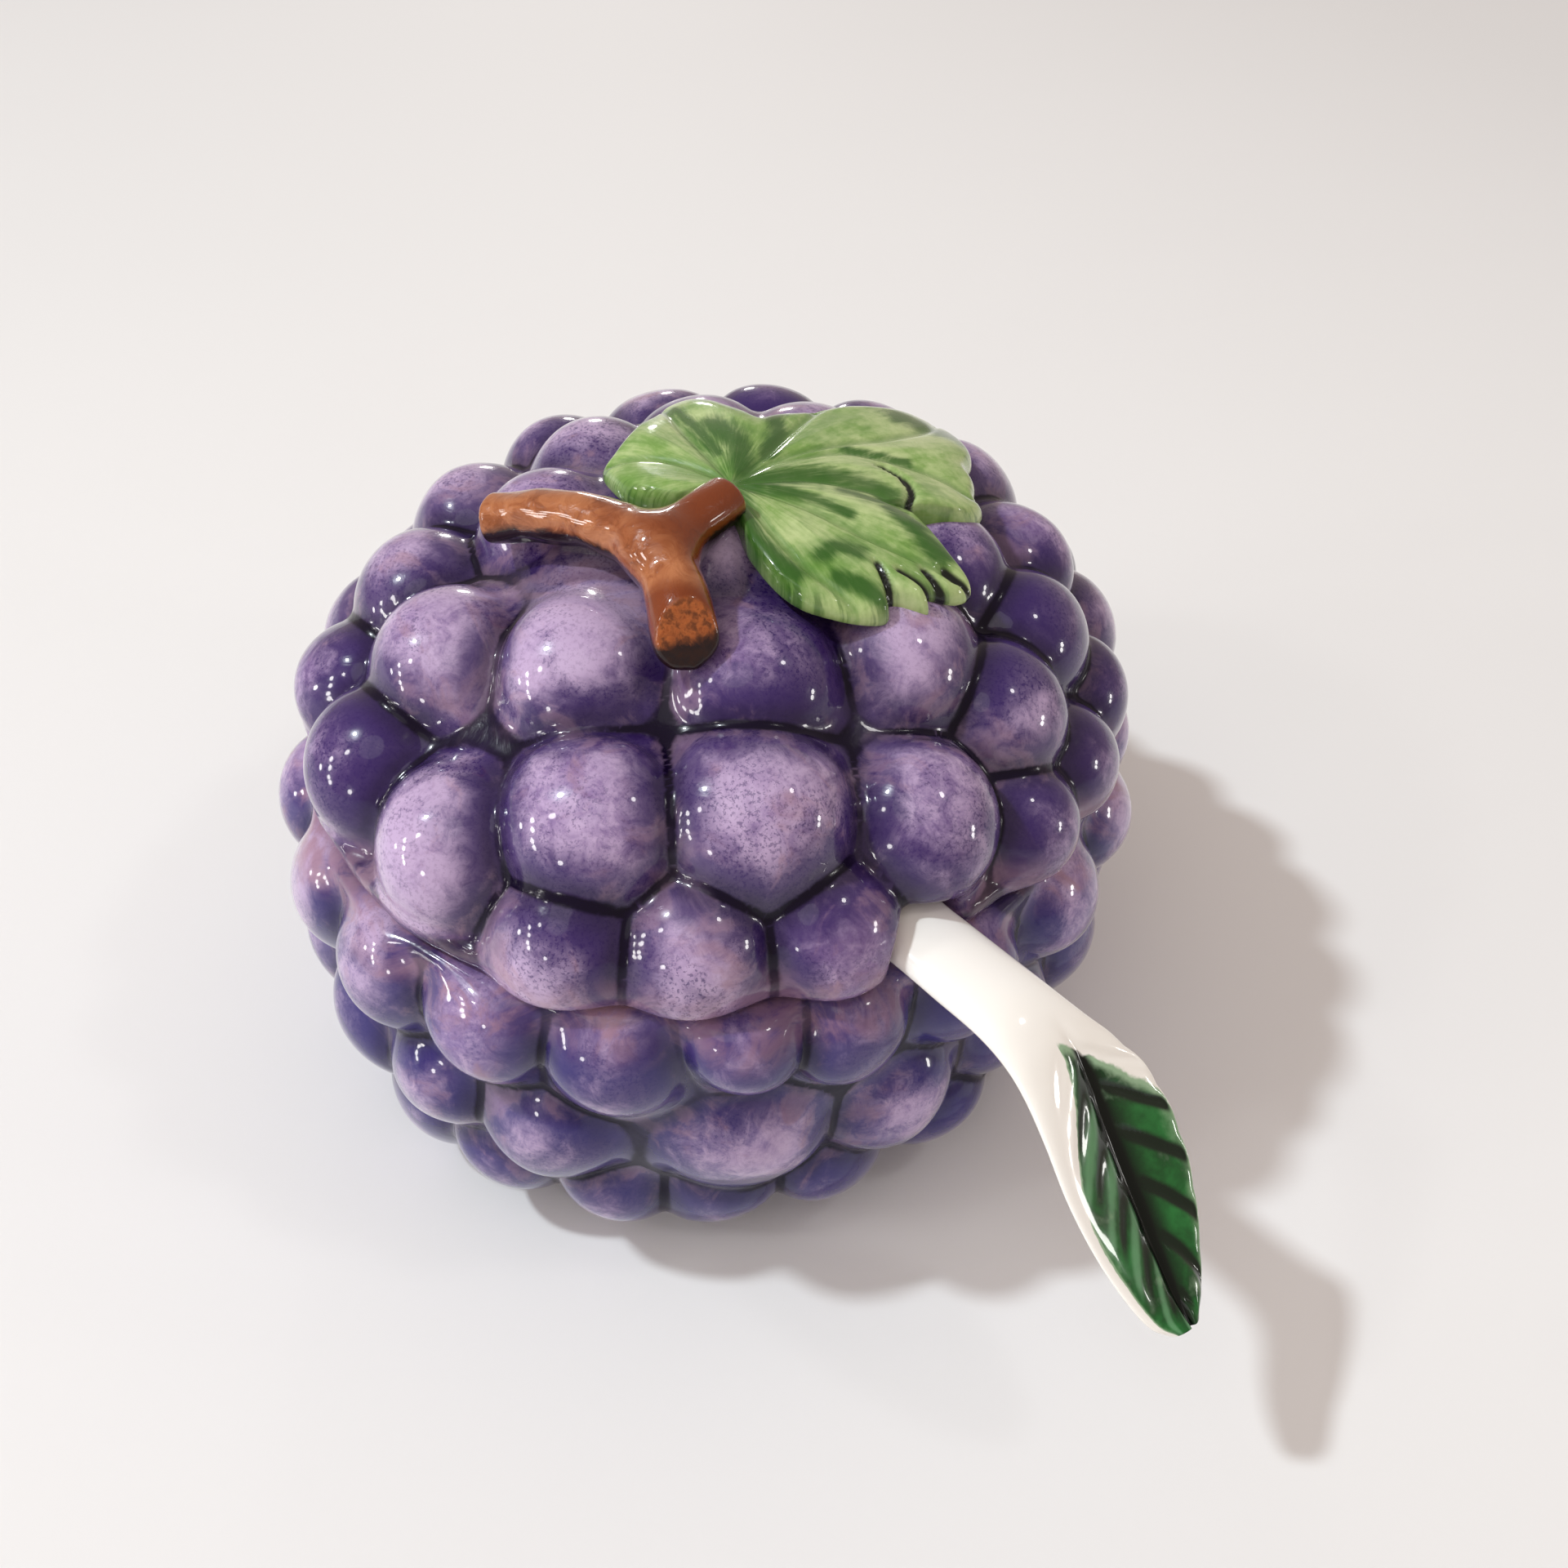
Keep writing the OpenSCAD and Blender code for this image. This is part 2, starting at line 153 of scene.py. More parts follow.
def pot_form(p):
    """How far points lie outside the pot's body."""
    z, out = p[:, 2], off_oval(p)
    foot = np.maximum(out - foot_r, z - 2 * rim_band)
    band = np.maximum(out - rim_r, np.abs(z - pot_h + rim_band / 2) - rim_band / 2)
    form = join(pot_side(p) + groove, foot, foot_fillet)
    form = join(form, band, band_fillet)
    form = join(form, bunch(p, pot_grapes(), grape_fillet) + hand(p), wall_fillet)
    form = cut(form, pot_h - z, rim_round)
    form = cut(form, z, foot_round)
    return cut(form, pot_cavity(p), mouth_round)


def settle(p, form, rounds=2):
    """Points moved straight onto the surface of a form."""
    step, least = 0.05 * mm, 0.2
    for _ in range(rounds):
        slope = np.stack([form(p + step * e) - form(p - step * e) for e in np.eye(3)], 1)
        slope /= 2 * step
        p = p - form(p)[:, None] * slope / np.maximum((slope ** 2).sum(1), least)[:, None]
    return p


def net(form, low, high, cell):
    """Points and four-sided faces of a closed skin where a form's distance is 0."""
    low, high = np.array(low) - 1.5 * cell, np.array(high) + 1.5 * cell
    counts = np.ceil((high - low) / cell).astype(int) + 1
    grid = np.stack(np.meshgrid(*(low[i] + cell * np.arange(counts[i]) for i in range(3)),
                                indexing="ij"), -1)
    value = form(grid.reshape(-1, 3)).reshape(counts)
    inside = value < 0
    corners = [(i, j, k) for i in (0, 1) for j in (0, 1) for k in (0, 1)]

    def at(grid, corner):
        """The grid's values at one corner of each cell."""
        return grid[tuple(slice(c, c + n - 1) for c, n in zip(corner, counts))]

    full = sum(at(inside, c).astype(int) for c in corners)
    crossed = (full > 0) & (full < 8)
    number = np.full(crossed.shape, -1)
    number[crossed] = np.arange(crossed.sum())
    total, hits = np.zeros((crossed.sum(), 3)), np.zeros(crossed.sum())
    for corner in corners:
        for axis in np.eye(3, dtype=int)[[c == 0 for c in corner]]:
            a, b = at(value, corner)[crossed], at(value, tuple(corner + axis))[crossed]
            hit = (a < 0) != (b < 0)
            share = a[hit] / (a[hit] - b[hit])
            total[hit] += np.array(corner) + share[:, None] * axis
            hits[hit] += 1
    points = low + cell * (np.argwhere(crossed) + total / hits[:, None])
    faces = []
    for axis in range(3):
        u, v = np.roll(np.eye(3, dtype=int), -axis, 0)[1:]
        first = inside.take(range(counts[axis] - 1), axis)
        last = inside.take(range(1, counts[axis]), axis)
        edge = np.argwhere(first != last)
        quad = np.stack([number[tuple((edge - a).T)] for a in (0 * u, u, u + v, v)], 1)
        outward = first[tuple(edge.T)]
        faces.append(np.where(outward[:, None], quad, quad[:, ::-1]))
    return points, np.concatenate(faces)


def shown(name, points, faces, levels=0):
    """A smooth-shaded mesh object, made finer by subdivision."""
    mesh = bpy.data.meshes.new(name)
    mesh.from_pydata(points.tolist(), [], faces)
    piece = bpy.data.objects.new(name, mesh)
    bpy.context.scene.collection.objects.link(piece)
    if levels:
        piece.modifiers.new("finer", "SUBSURF").levels = levels
        finer = piece.evaluated_get(bpy.context.evaluated_depsgraph_get())
        piece.data = bpy.data.meshes.new_from_object(finer)
        piece.modifiers.clear()
        bpy.data.meshes.remove(mesh)
        piece.data.name = name
    piece.data.polygons.foreach_set("use_smooth", [True] * len(piece.data.polygons))
    return piece


def places(piece):
    """Where the points of a piece are."""
    p = np.empty(3 * len(piece.data.vertices))
    piece.data.vertices.foreach_get("co", p)
    return p.reshape(-1, 3)


def cast(name, form, node, cell):
    """A piece in a form that fills the box of its CAD node: netted, made finer and settled."""
    low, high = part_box(node)
    points, faces = net(form, low, high, cell)
    piece = shown(name, settle(points, form), faces.tolist(), levels=1)
    piece.data.vertices.foreach_set("co", settle(places(piece), form).ravel())
    piece.data.update()
    return piece


def mark(piece, **masks):
    """Keeps a value for each point of the piece, for its finish to read."""
    for name, values in masks.items():
        layer = piece.data.attributes.new(name, "FLOAT", "POINT")
        layer.data.foreach_set("value", values.astype(np.float32))


def ramp(values, start, end):
    """0 before start and 1 after end, with soft ends."""
    share = np.clip((values - start) / (end - start), 0, 1)
    return share * share * (3 - 2 * share)


def within(values, full, none):
    """1 where values lie within full of 0, falling to 0 at none."""
    return ramp(-np.abs(values), -none, -full)


# How far a grape's tint blends into the next one's, and the half widths of a crease and of the
# band of painted shade at a grape's foot
tint_blend, crease_w, band_w = 0.5 * mm, 1.2 * mm, 5.5 * mm
# How far out from the grapes a valley between three of them begins and is full, and its share
valley_start, valley_full, valley_share = 0.3 * mm, 1.5 * mm, 0.8
# The way that each grape's side with painted shade faces, and how far each one strays from it
shade_way, shade_way_spread = np.array([0.8, -0.2, -0.6]), 0.8


def mark_grapes(piece, grapes, depth, seed, flat=0):
    """Where the glaze pools, how deep a point lies, each grape's own tint, and its side with
    painted shade.
    """
    p, random = places(piece), np.random.default_rng(seed)
    gaps, tints, shades = [], [], []
    for middle, r in grapes:
        off = p - middle
        gaps.append(np.linalg.norm(off, axis=1) - r)
        tints.append(random.random())
        side = random.normal(size=3) * shade_way_spread + shade_way
        shades.append(off @ side / np.linalg.norm(side) / r)
    first, second = np.partition(gaps, 1, axis=0)[:2]
    share = np.exp((first - gaps) / tint_blend)
    share /= share.sum(0)
    tint, shade = tints @ share, (shades * share).sum(0)
    valley = ramp(first, valley_start, valley_full)
    crease = np.maximum(np.exp(-((second - first) / crease_w) ** 2), valley_share * valley)
    foot = np.maximum(np.exp(-((second - first) / band_w) ** 2), valley)
    mark(piece, crease=crease, foot=foot, depth=np.clip(depth / relief, 0, 1), tint=tint,
         shade=shade, flat=np.ones(len(p)) * flat)


# Below the rim: where the lining is full, and where the blushed edge is full and ends
lining_line, blush_line, blush_end = 1 * mm, 2 * mm, 6 * mm
# How near the cavity the lining is full and ends, and how near the table the foot is bare
lining_full, lining_end, bare_full, bare_end = 0.3 * mm, 1.6 * mm, 0.05 * mm, 0.25 * mm
pot = cast("pot_body", pot_form, "pot", cell)
p = places(pot)
down = pot_h - p[:, 2]
mark_grapes(pot, pot_grapes(), -pot_side(p), seed=4)
mark(pot,
     lining=within(pot_cavity(p), lining_full, lining_end) * ramp(down, 0, lining_line),
     bare=within(p[:, 2], bare_full, bare_end),
     edge=1 - ramp(down, blush_line, blush_end))


class Glaze:
    """A node socket of a finish. Sums on it add Math nodes, and node adds any other node."""

    def __init__(self, tree, socket=None):
        self.tree, self.socket = tree, socket

    def feed(self, socket, value):
        """Links another node to a socket, or sets a plain value on it."""
        if isinstance(value, Glaze):
            self.tree.links.new(value.socket, socket)
        else:
            socket.default_value = value

    def node(self, kind, settings=(), inputs=(), out=None):
        made = self.tree.nodes.new("ShaderNode" + kind)
        for name, value in dict(settings).items():
            setattr(made, name, value)
        for name, value in dict(inputs).items():
            self.feed(next(s for s in made.inputs if s.enabled and s.name == name), value)
        return Glaze(self.tree, next(s for s in made.outputs
                                     if s.enabled and (out is None or s.name == out)))

    def math(self, operation, a, b):
        made = self.tree.nodes.new("ShaderNodeMath")
        made.operation = operation
        for socket, value in zip(made.inputs, (a, b)):
            self.feed(socket, value)
        return Glaze(self.tree, made.outputs[0])

    def __add__(self, other):
        return self.math("ADD", self, other)

    def __sub__(self, other):
        return self.math("SUBTRACT", self, other)

    def __mul__(self, other):
        return self.math("MULTIPLY", self, other)

    def __radd__(self, other):
        return self.math("ADD", other, self)

    def __rsub__(self, other):
        return self.math("SUBTRACT", other, self)

    def __rmul__(self, other):
        return self.math("MULTIPLY", other, self)

    def over(self, low, high):
        """0 below low and 1 above high, with soft ends."""
        return self.node("MapRange", {"interpolation_type": "SMOOTHSTEP"},
                         {"Value": self, "From Min": low, "From Max": high}, "Result")

    def mix(self, under, top):
        """Colour under where this mask is 0, and top where it is 1."""
        return self.node("Mix", {"data_type": "RGBA"}, {"Factor": self, "A": under, "B": top})

    def noise(self, place, scale, detail=3, rough=0.55, warp=0):
        return self.node("TexNoise", (), {"Vector": place, "Scale": scale, "Detail": detail,
                                          "Roughness": rough, "Distortion": warp}, "Fac")

    def mask(self, name):
        return self.node("Attribute", {"attribute_name": name}, (), "Fac")


def srgb(red, green, blue):
    """A colour as a painter's chart gives it, from 0 to 255, as light."""
    return (*(((c / 255 + 0.055) / 1.055) ** 2.4 if c > 10 else c / 255 / 12.92
              for c in (red, green, blue)), 1)


def finish(name, paint, coat=0.9):
    """A material whose colour, roughness and fine height come from a paint function."""
    material = bpy.data.materials.new(name)
    material.use_nodes = True
    tree = material.node_tree
    shader = tree.nodes["Principled BSDF"]
    start = Glaze(tree)
    place = start.node("TexCoord", (), (), "Object")
    colour, rough, height, lift, *coated = paint(start, place)
    bump = start.node("Bump", (), {"Height": height, "Strength": 1, "Distance": lift})
    for name, value in {"Base Color": colour, "Roughness": rough, "Normal": bump}.items():
        tree.links.new(value.socket, shader.inputs[name])
    shader.inputs["Coat Weight"].default_value = coat
    for weight in coated:
        tree.links.new(weight.socket, shader.inputs["Coat Weight"])
    shader.inputs["Coat Roughness"].default_value = 0.03
    shader.inputs["Coat IOR"].default_value = 1.4
    shader.inputs["Specular IOR Level"].default_value = 0.15 if coat else 0.4
    return material


ivory, biscuit = srgb(236, 230, 214), srgb(214, 196, 170)


def grape_paint(pale, mauve, violet, pool, blush, pooling, speckled):
    """Brushed grape glaze: pale speckled tops, violet washes and painted shade, dark pools, a
    blushed edge.
    """
    def paint(start, place):
        crease, foot, depth, tint, shade, flat, lining, bare, edge = (start.mask(n) for n in (
            "crease", "foot", "depth", "tint", "shade", "flat", "lining", "bare", "edge"))
        drift = start.noise(place, 38, 2, 0.5, 0.5)
        cloud = start.noise(place, 75, 3, 0.55, 0.9)
        patch = start.noise(place, 130, 4, 0.6, 1.4)
        mottle = start.noise(place, 320, 4, 0.65, 0.8)
        grain = start.noise(place, 1000, 3, 0.6)
        dots = start.noise(place, 2300, 3, 0.7)
        soft = (mottle * 0.8 + patch * 0.6 + tint * 0.35 + grain * 0.3).over(0.8, 1.3)
        colour = soft.mix(pale, mauve)
        # The shade mask puts painted shade on each grape's side away from the lamp, within the
        # violet wash
        wash = shade * 0.32 + cloud * 1.5 + mottle * 0.5 + tint * 0.25 + foot * 0.3
        wash = wash.over(1.0, 1.6)
        colour = (wash * 0.8).mix(colour, violet)
        specks = dots.over(0.5, 0.62) * (0.25 + 0.6 * wash + 0.6 * cloud.over(0.42, 0.6))
        colour = (specks * speckled).mix(colour, violet)
        blushed = (patch + foot * 0.12 + depth * 0.15 - wash * 0.2).over(0.55, 0.74)
        colour = (blushed * 0.6).mix(colour, blush)
        rim = (foot + mottle * 0.5 + drift * 0.5 - 0.5).over(0.05, 0.7) * (1 - blushed * 0.4)
        colour = (rim * 0.85 * (1 - flat * 0.6)).mix(colour, violet)
        # Painted shade: a soft dark band at each grape's foot, beside the pooled glaze
        band = (foot * foot * foot + mottle * 0.4 - 0.3).over(0.1, 0.9) * (1 - flat * 0.4)
        colour = (band * 0.5 * (1 - edge * 0.6)).mix(colour, pool)
        colour = (edge * (0.1 + 0.4 * patch.over(0.4, 0.6))).mix(colour, blush)
        open_way = (drift + cloud * 0.5 + pooling - flat * 0.3).over(0.66, 0.86)
        pooled = crease * crease + mottle * 0.5 + patch * 0.3 + open_way * 0.25 - 0.6
        pooled = pooled.over(0.2, 0.72) * (0.25 + 0.75 * open_way)
        pooled = pooled * (1 - flat * 0.7) * (1 - edge * 0.4)
        colour = pooled.mix(colour, pool)
        inner = (lining + mottle * 0.5 - 0.25).over(0.3, 0.7)
        colour = inner.mix(colour, ivory)
        colour = bare.mix(colour, biscuit)
        rough = 0.16 + grain * 0.12 + bare * 0.5
        return colour, rough, patch * 0.8 + grain * 0.1, 0.12 * mm, 0.9 - pooled * 0.7
    return paint


pot.data.materials.append(finish("pot_glaze", grape_paint(
    pale=srgb(186, 164, 200), mauve=srgb(134, 112, 164), violet=srgb(38, 29, 104),
    pool=srgb(12, 4, 36), blush=srgb(158, 122, 140), pooling=0.05, speckled=0.35)))
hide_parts("pot")
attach(pot, "pot")


# The lid: a cast dome with larger, paler grapes, a flange below that keeps it in the mouth, and
# an arched notch in its edge for the spoon. It is glazed as the pot is, with darker pools
# between the grapes and a pale, blushed lower edge where the glaze ran thin.
lid_h, row_lift, skirt_h = 35 * mm, 3.5 * mm, 3 * mm
flange_depth, flange_t = 4.5 * mm, 3 * mm
seat_gap, mouth_gap, notch_gap, rest_gap = 0.3 * mm, 1.2 * mm, 1 * mm, 0.3 * mm
handle_w, handle_t = 10.5 * mm, 5 * mm
spoon_angle, handle_angle = 62, 72
dome_power = 1.8
seat_z = pot_h + seat_gap
core_h = lid_h - relief
flange_r = mouth_r - mouth_gap
notch_w = handle_w + 2 * notch_gap
notch_h = rest_gap + handle_t + notch_gap - seat_gap
notch_reach = grape_d
notch_power = 3
# Between the grapes of the crown, the clay fills the dips within crown_r of the axis: there they
# are crown_web deep. Past slope_r they are as deep as the pot's.
crown_web, crown_r, slope_r = 3 * mm, 20 * mm, 32 * mm
# The glaze pools less on the crown, until flat_r
flat_r = 31 * mm
# Fillets between the lid's grapes, on the wall, at the flange and in the throat
lid_grape_fillet, lid_wall_fillet = 1.6 * mm, 2.4 * mm
flange_fillet, throat_fillet = 0.6 * mm, 1.2 * mm
hollow_round, notch_round = 1 * mm, 1.4 * mm

# Way round in degrees, distance from the crown as a share, size as a share
lid_grape_shares = [
    (14, 1.00, 0.95), (32, 1.00, 0.97), (50, 1.00, 0.97), (84, 1.00, 0.90), (99, 1.00, 0.92),
    (115, 1.00, 0.95), (132, 1.00, 0.95), (149, 1.00, 0.98), (167, 1.00, 0.98),
    (185, 1.00, 1.00), (204, 1.00, 0.98), (222, 1.00, 0.98), (240, 1.00, 0.98),
    (257, 1.00, 0.95), (273, 1.00, 0.95), (290, 1.00, 0.98), (309, 0.98, 0.98),
    (330, 0.97, 1.02), (353, 0.97, 1.04),
    (14, 0.87, 1.12), (41, 0.85, 1.22), (67, 0.94, 1.05), (91, 0.86, 0.95), (111, 0.84, 0.98),
    (132, 0.82, 1.02), (156, 0.80, 1.08), (181, 0.80, 1.08), (205, 0.80, 1.05),
    (229, 0.80, 1.05), (252, 0.80, 1.02), (276, 0.81, 1.02), (300, 0.83, 1.08),
    (326, 0.76, 1.14),
    (357, 0.56, 1.10), (44, 0.54, 1.06), (82, 0.62, 1.10), (116, 0.58, 1.10),
    (150, 0.52, 1.15), (186, 0.50, 1.15), (222, 0.50, 1.10), (258, 0.54, 1.10),
    (293, 0.48, 1.10), (25, 0.16, 1.05), (150, 0.18, 1.20), (270, 0.16, 1.10)]


def lid_grapes():
    """Middle and radius of each of the lid's grapes."""
    for way, reach, size in lid_grape_shares:
        r = size * grape_d / 2
        z = seat_z + row_lift + (lid_h - r - row_lift) * bowed(reach, dome_power)
        yield np.array([*on_oval(way, (lid_r - r) * reach), z]), r


def along_spoon(p):
    """Points as distances from the rim's crossing: outward along the spoon, and across it."""
    turn = math.radians(handle_angle - 90)
    x, y = (p[:, :2] - on_oval(spoon_angle, mean_r - relief)).T
    return (x * math.cos(turn) + y * math.sin(turn), y * math.cos(turn) - x * math.sin(turn))


def lid_hollow(p):
    """How far points lie outside the room under the lid."""
    up, out = p[:, 2] - seat_z, off_oval(p)
    dome = past(out, np.maximum(up - wall, 0), mouth_r, core_h - 2 * wall, dome_power)
    throat = np.maximum(out - flange_r + flange_t, up - wall - rim_band / 2)
    return join(np.maximum(dome, wall - up), throat, throat_fillet)


def lid_dome(p):
    """How far points lie outside the dome that the grapes stand on."""
    return past(off_oval(p), np.maximum(p[:, 2] - seat_z, 0), core_r, core_h, dome_power)


def lid_form(p):
    """How far points lie outside the lid's shell."""
    up, out = p[:, 2] - seat_z, off_oval(p)
    skirt = np.maximum(out - rim_r, up - skirt_h)
    web = crown_web + (groove - crown_web) * ramp(out, crown_r, slope_r)
    form = join(lid_dome(p) - relief + web, skirt, band_fillet)
    form = join(form, bunch(p, lid_grapes(), lid_grape_fillet) + hand(p), lid_wall_fillet)
    form = cut(form, up, rim_round)
    flange = np.maximum(out - flange_r, np.maximum(up - wall, -flange_depth - up))
    form = join(form, flange, flange_fillet)
    form = cut(form, lid_hollow(p), hollow_round)
    outward, across = along_spoon(p)
    notch = np.maximum(past(across, np.maximum(up, 0), notch_w / 2, notch_h, notch_power),
                       np.abs(outward) - notch_reach)
    return cut(form, notch, notch_round)


# Over the seat: where the lid's blushed edge is full and where it ends
lid_blush_line, lid_blush_end = 1.5 * mm, 7 * mm
# The ring that the lid stands on is bare: how near the seat it is full and ends, and how far out
# from the flange it starts and is full
seat_full, seat_end, ring_start, ring_full = 0.1 * mm, 0.35 * mm, 1 * mm, 2 * mm
# How near the hollow the lid's lining ends, and how far under the seat the flange is all lined
lid_lining_end, flange_line = 1.2 * mm, 0.4 * mm
lid = cast("lid_shell", lid_form, "lid", cell)
p = places(lid)
up, out = p[:, 2] - seat_z, off_oval(p)
under = within(lid_hollow(p), lining_full, lid_lining_end)
mark_grapes(lid, lid_grapes(), relief - lid_dome(p), seed=11,
            flat=1 - ramp(out, crown_r, flat_r))
mark(lid,
     lining=np.maximum(under, ramp(-up, -seat_full, flange_line)),
     bare=within(up, seat_full, seat_end) * ramp(out - flange_r, ring_start, ring_full),
     edge=(1 - ramp(up, lid_blush_line, lid_blush_end)) * ramp(out, core_r - wall, core_r))
lid.data.materials.append(finish("lid_glaze", grape_paint(
    pale=srgb(188, 166, 202), mauve=srgb(128, 102, 154), violet=srgb(48, 26, 92),
    pool=srgb(12, 3, 30), blush=srgb(172, 138, 156), pooling=0.14, speckled=0.65)))
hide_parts("lid")
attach(lid, "lid")


# The vine leaf: a lobed leaf cut from a rolled sheet of clay, veined with a tool, pressed over
# the grapes of the crown and luted down with slip. It is glazed light green, and darker green
# was brushed along its veins and into its slits, which are also painted near-black as shade.
leaf_l, leaf_t = 40 * mm, 2.6 * mm
leaf_root = mean_r * np.array([0.05, -0.06])
leaf_drape_share, leaf_rise_share = 0.72, 0.6
leaf_rings, rings_to_edge = 56, 1.6
# Heights and half widths of the swell beside a vein, the scored vein, a slit and the curled edge
swell_h, swell_w, vein_depth, vein_w = 0.7 * mm, 3.4 * mm, 0.4 * mm, 0.6 * mm
slit_depth, slit_w, curl_depth, curl_w = 1.1 * mm, 0.45 * mm, 0.9 * mm, 5 * mm
broad_wave, small_wave = 0.5 * mm, 0.35 * mm
# In the glaze: half widths of a vein's and a slit's line, how far a stroke spreads, and the rim
vein_line_w, slit_line_w, stroke_spread = 0.9 * mm, 0.6 * mm, 1.35
rim_full, rim_end = 0.2 * mm, 1.6 * mm
line_steps, outline_steps = 6, 8

# Degrees round the stalk, reach as a share of the leaf's length
leaf_outline_shares = [
    (-118, 0.13), (-60, 0.12), (-46, 0.27), (-39, 0.40), (-33, 0.48), (-25, 0.54), (-18, 0.59),
    (-12, 0.62), (-7, 0.59), (-2, 0.68), (2, 0.65), (7, 0.73), (12, 0.75), (17, 0.68),
    (25, 0.60), (31, 0.56), (34, 0.50), (36, 0.62), (38, 0.73), (43, 0.80), (48, 0.80),
    (53, 0.83), (58, 0.84), (63, 0.92), (70, 0.97), (77, 1.00), (83, 0.94), (89, 0.80),
    (96, 0.64), (104, 0.51), (110, 0.44), (118, 0.47), (124, 0.51), (130, 0.57), (136, 0.61),
    (143, 0.60), (150, 0.54), (158, 0.50), (168, 0.46), (178, 0.44), (188, 0.43), (197, 0.38),
    (207, 0.33), (218, 0.27), (230, 0.20)]
# Each vein from the stalk out: degrees and reach of its points
leaf_vein_shares = [
    [(80, 0.02), (79, 0.21), (76, 0.33), (73, 0.47), (71, 0.64), (73, 0.85), (77, 0.97)],
    [(76, 0.20), (71, 0.30), (67, 0.42), (60, 0.52), (53, 0.64), (46, 0.77)],
    [(39, 0.02), (46, 0.21), (42, 0.32), (38, 0.42), (34, 0.48)],
    [(5, 0.02), (8, 0.24), (6, 0.39), (7, 0.53), (9, 0.70)],
    [(-30, 0.02), (-30, 0.18), (-29, 0.29), (-26, 0.41), (-20, 0.56)],
    [(155, 0.02), (149, 0.27), (147, 0.42), (145, 0.56)],
    [(180, 0.02), (178, 0.20), (182, 0.30), (188, 0.40)],
    [(84, 0.08), (90, 0.20), (93, 0.35), (95, 0.60)]]
# Each dark brush stroke: its points, as those of the veins, and its half width in millimetres
leaf_stroke_shares = [
    ([(28, 0.05), (48, 0.17), (47, 0.28), (42, 0.39), (36, 0.47)], 1.9),
    ([(23, 0.12), (18, 0.25), (14, 0.36)], 0.9), ([(34, 0.33), (31, 0.41), (32, 0.46)], 1.0),
    ([(-16, 0.39), (-8, 0.40), (-4, 0.45)], 1.1), ([(27, 0.48), (20, 0.54), (13, 0.64)], 1.5),
    ([(-42, 0.05), (-43, 0.18), (-40, 0.29), (-33, 0.41)], 1.2),
    ([(133, 0.34), (119, 0.20), (95, 0.08)], 1.8), ([(106, 0.46), (97, 0.34), (90, 0.20)], 1.1),
    ([(144, 0.52), (142, 0.37), (138, 0.16)], 0.9), ([(79, 0.82), (74, 0.88), (69, 0.92)], 2.4),
    ([(68, 0.44), (62, 0.52), (57, 0.60)], 0.7), ([(-18, 0.48), (-14, 0.54), (-12, 0.60)], 1.0)]
# Slits between the teeth and lobes, cut with a knife: their points from inside out
leaf_slit_shares = [
    [(55, 0.50), (47, 0.54), (40, 0.55), (34, 0.53)], [(-3, 0.51), (-6, 0.56), (-8, 0.60)],
    [(0, 0.57), (1, 0.61), (2, 0.66)], [(6, 0.62), (5, 0.66), (4, 0.71)],
    [(10, 0.67), (10, 0.71), (10, 0.75)]]


def smooth_line(points, steps, closed=False):
    """A smooth line through points, with so many steps between each two."""
    keys = np.array(points, float)
    before, after = 2 * keys[:1] - keys[1:2], 2 * keys[-1:] - keys[-2:-1]
    if closed:
        before, after = keys[-1:], keys[:2]
    keys = np.concatenate([before, keys, after])
    share = np.arange(steps)[:, None] / steps
    line = []
    for a, b, c, d in zip(keys, keys[1:], keys[2:], keys[3:]):
        line.append(b + (c - a) * share / 2 + (a - 2.5 * b + 2 * c - d / 2) * share ** 2
                    + (1.5 * (b - c) + (d - a) / 2) * share ** 3)
    return np.concatenate(line + ([] if closed else [keys[-2:-1]]))


def polar(degrees, reach):
    """A place in plan, from its degrees and reach round the leaf's stalk."""
    turn = np.radians(degrees)
    return leaf_root + leaf_l * reach * np.array([math.cos(turn), math.sin(turn)])


def dome_at(plan):
    """Height over the seat of the lid's grapes, at places in plan."""
    reach = np.hypot(*(plan / oval).T) / lid_r
    return lid_h * np.maximum(1 - np.minimum(reach, 1) ** dome_power, 0) ** (1 / dome_power)


def from_lines(plan, lines):
    """Distance of places in plan from the nearest of some lines."""
    nearest = np.full(len(plan), far_away)
    for line in lines:
        for a, b in zip(line, line[1:]):
            share = np.clip((plan - a) @ (b - a) / ((b - a) @ (b - a)), 0, 1)
            off = plan - a - share[:, None] * (b - a)
            nearest = np.minimum(nearest, np.linalg.norm(off, axis=1))
    return nearest


def leaf_line(shares):
    """A line of the leaf in plan."""
    return smooth_line([polar(*share) for share in shares], line_steps)


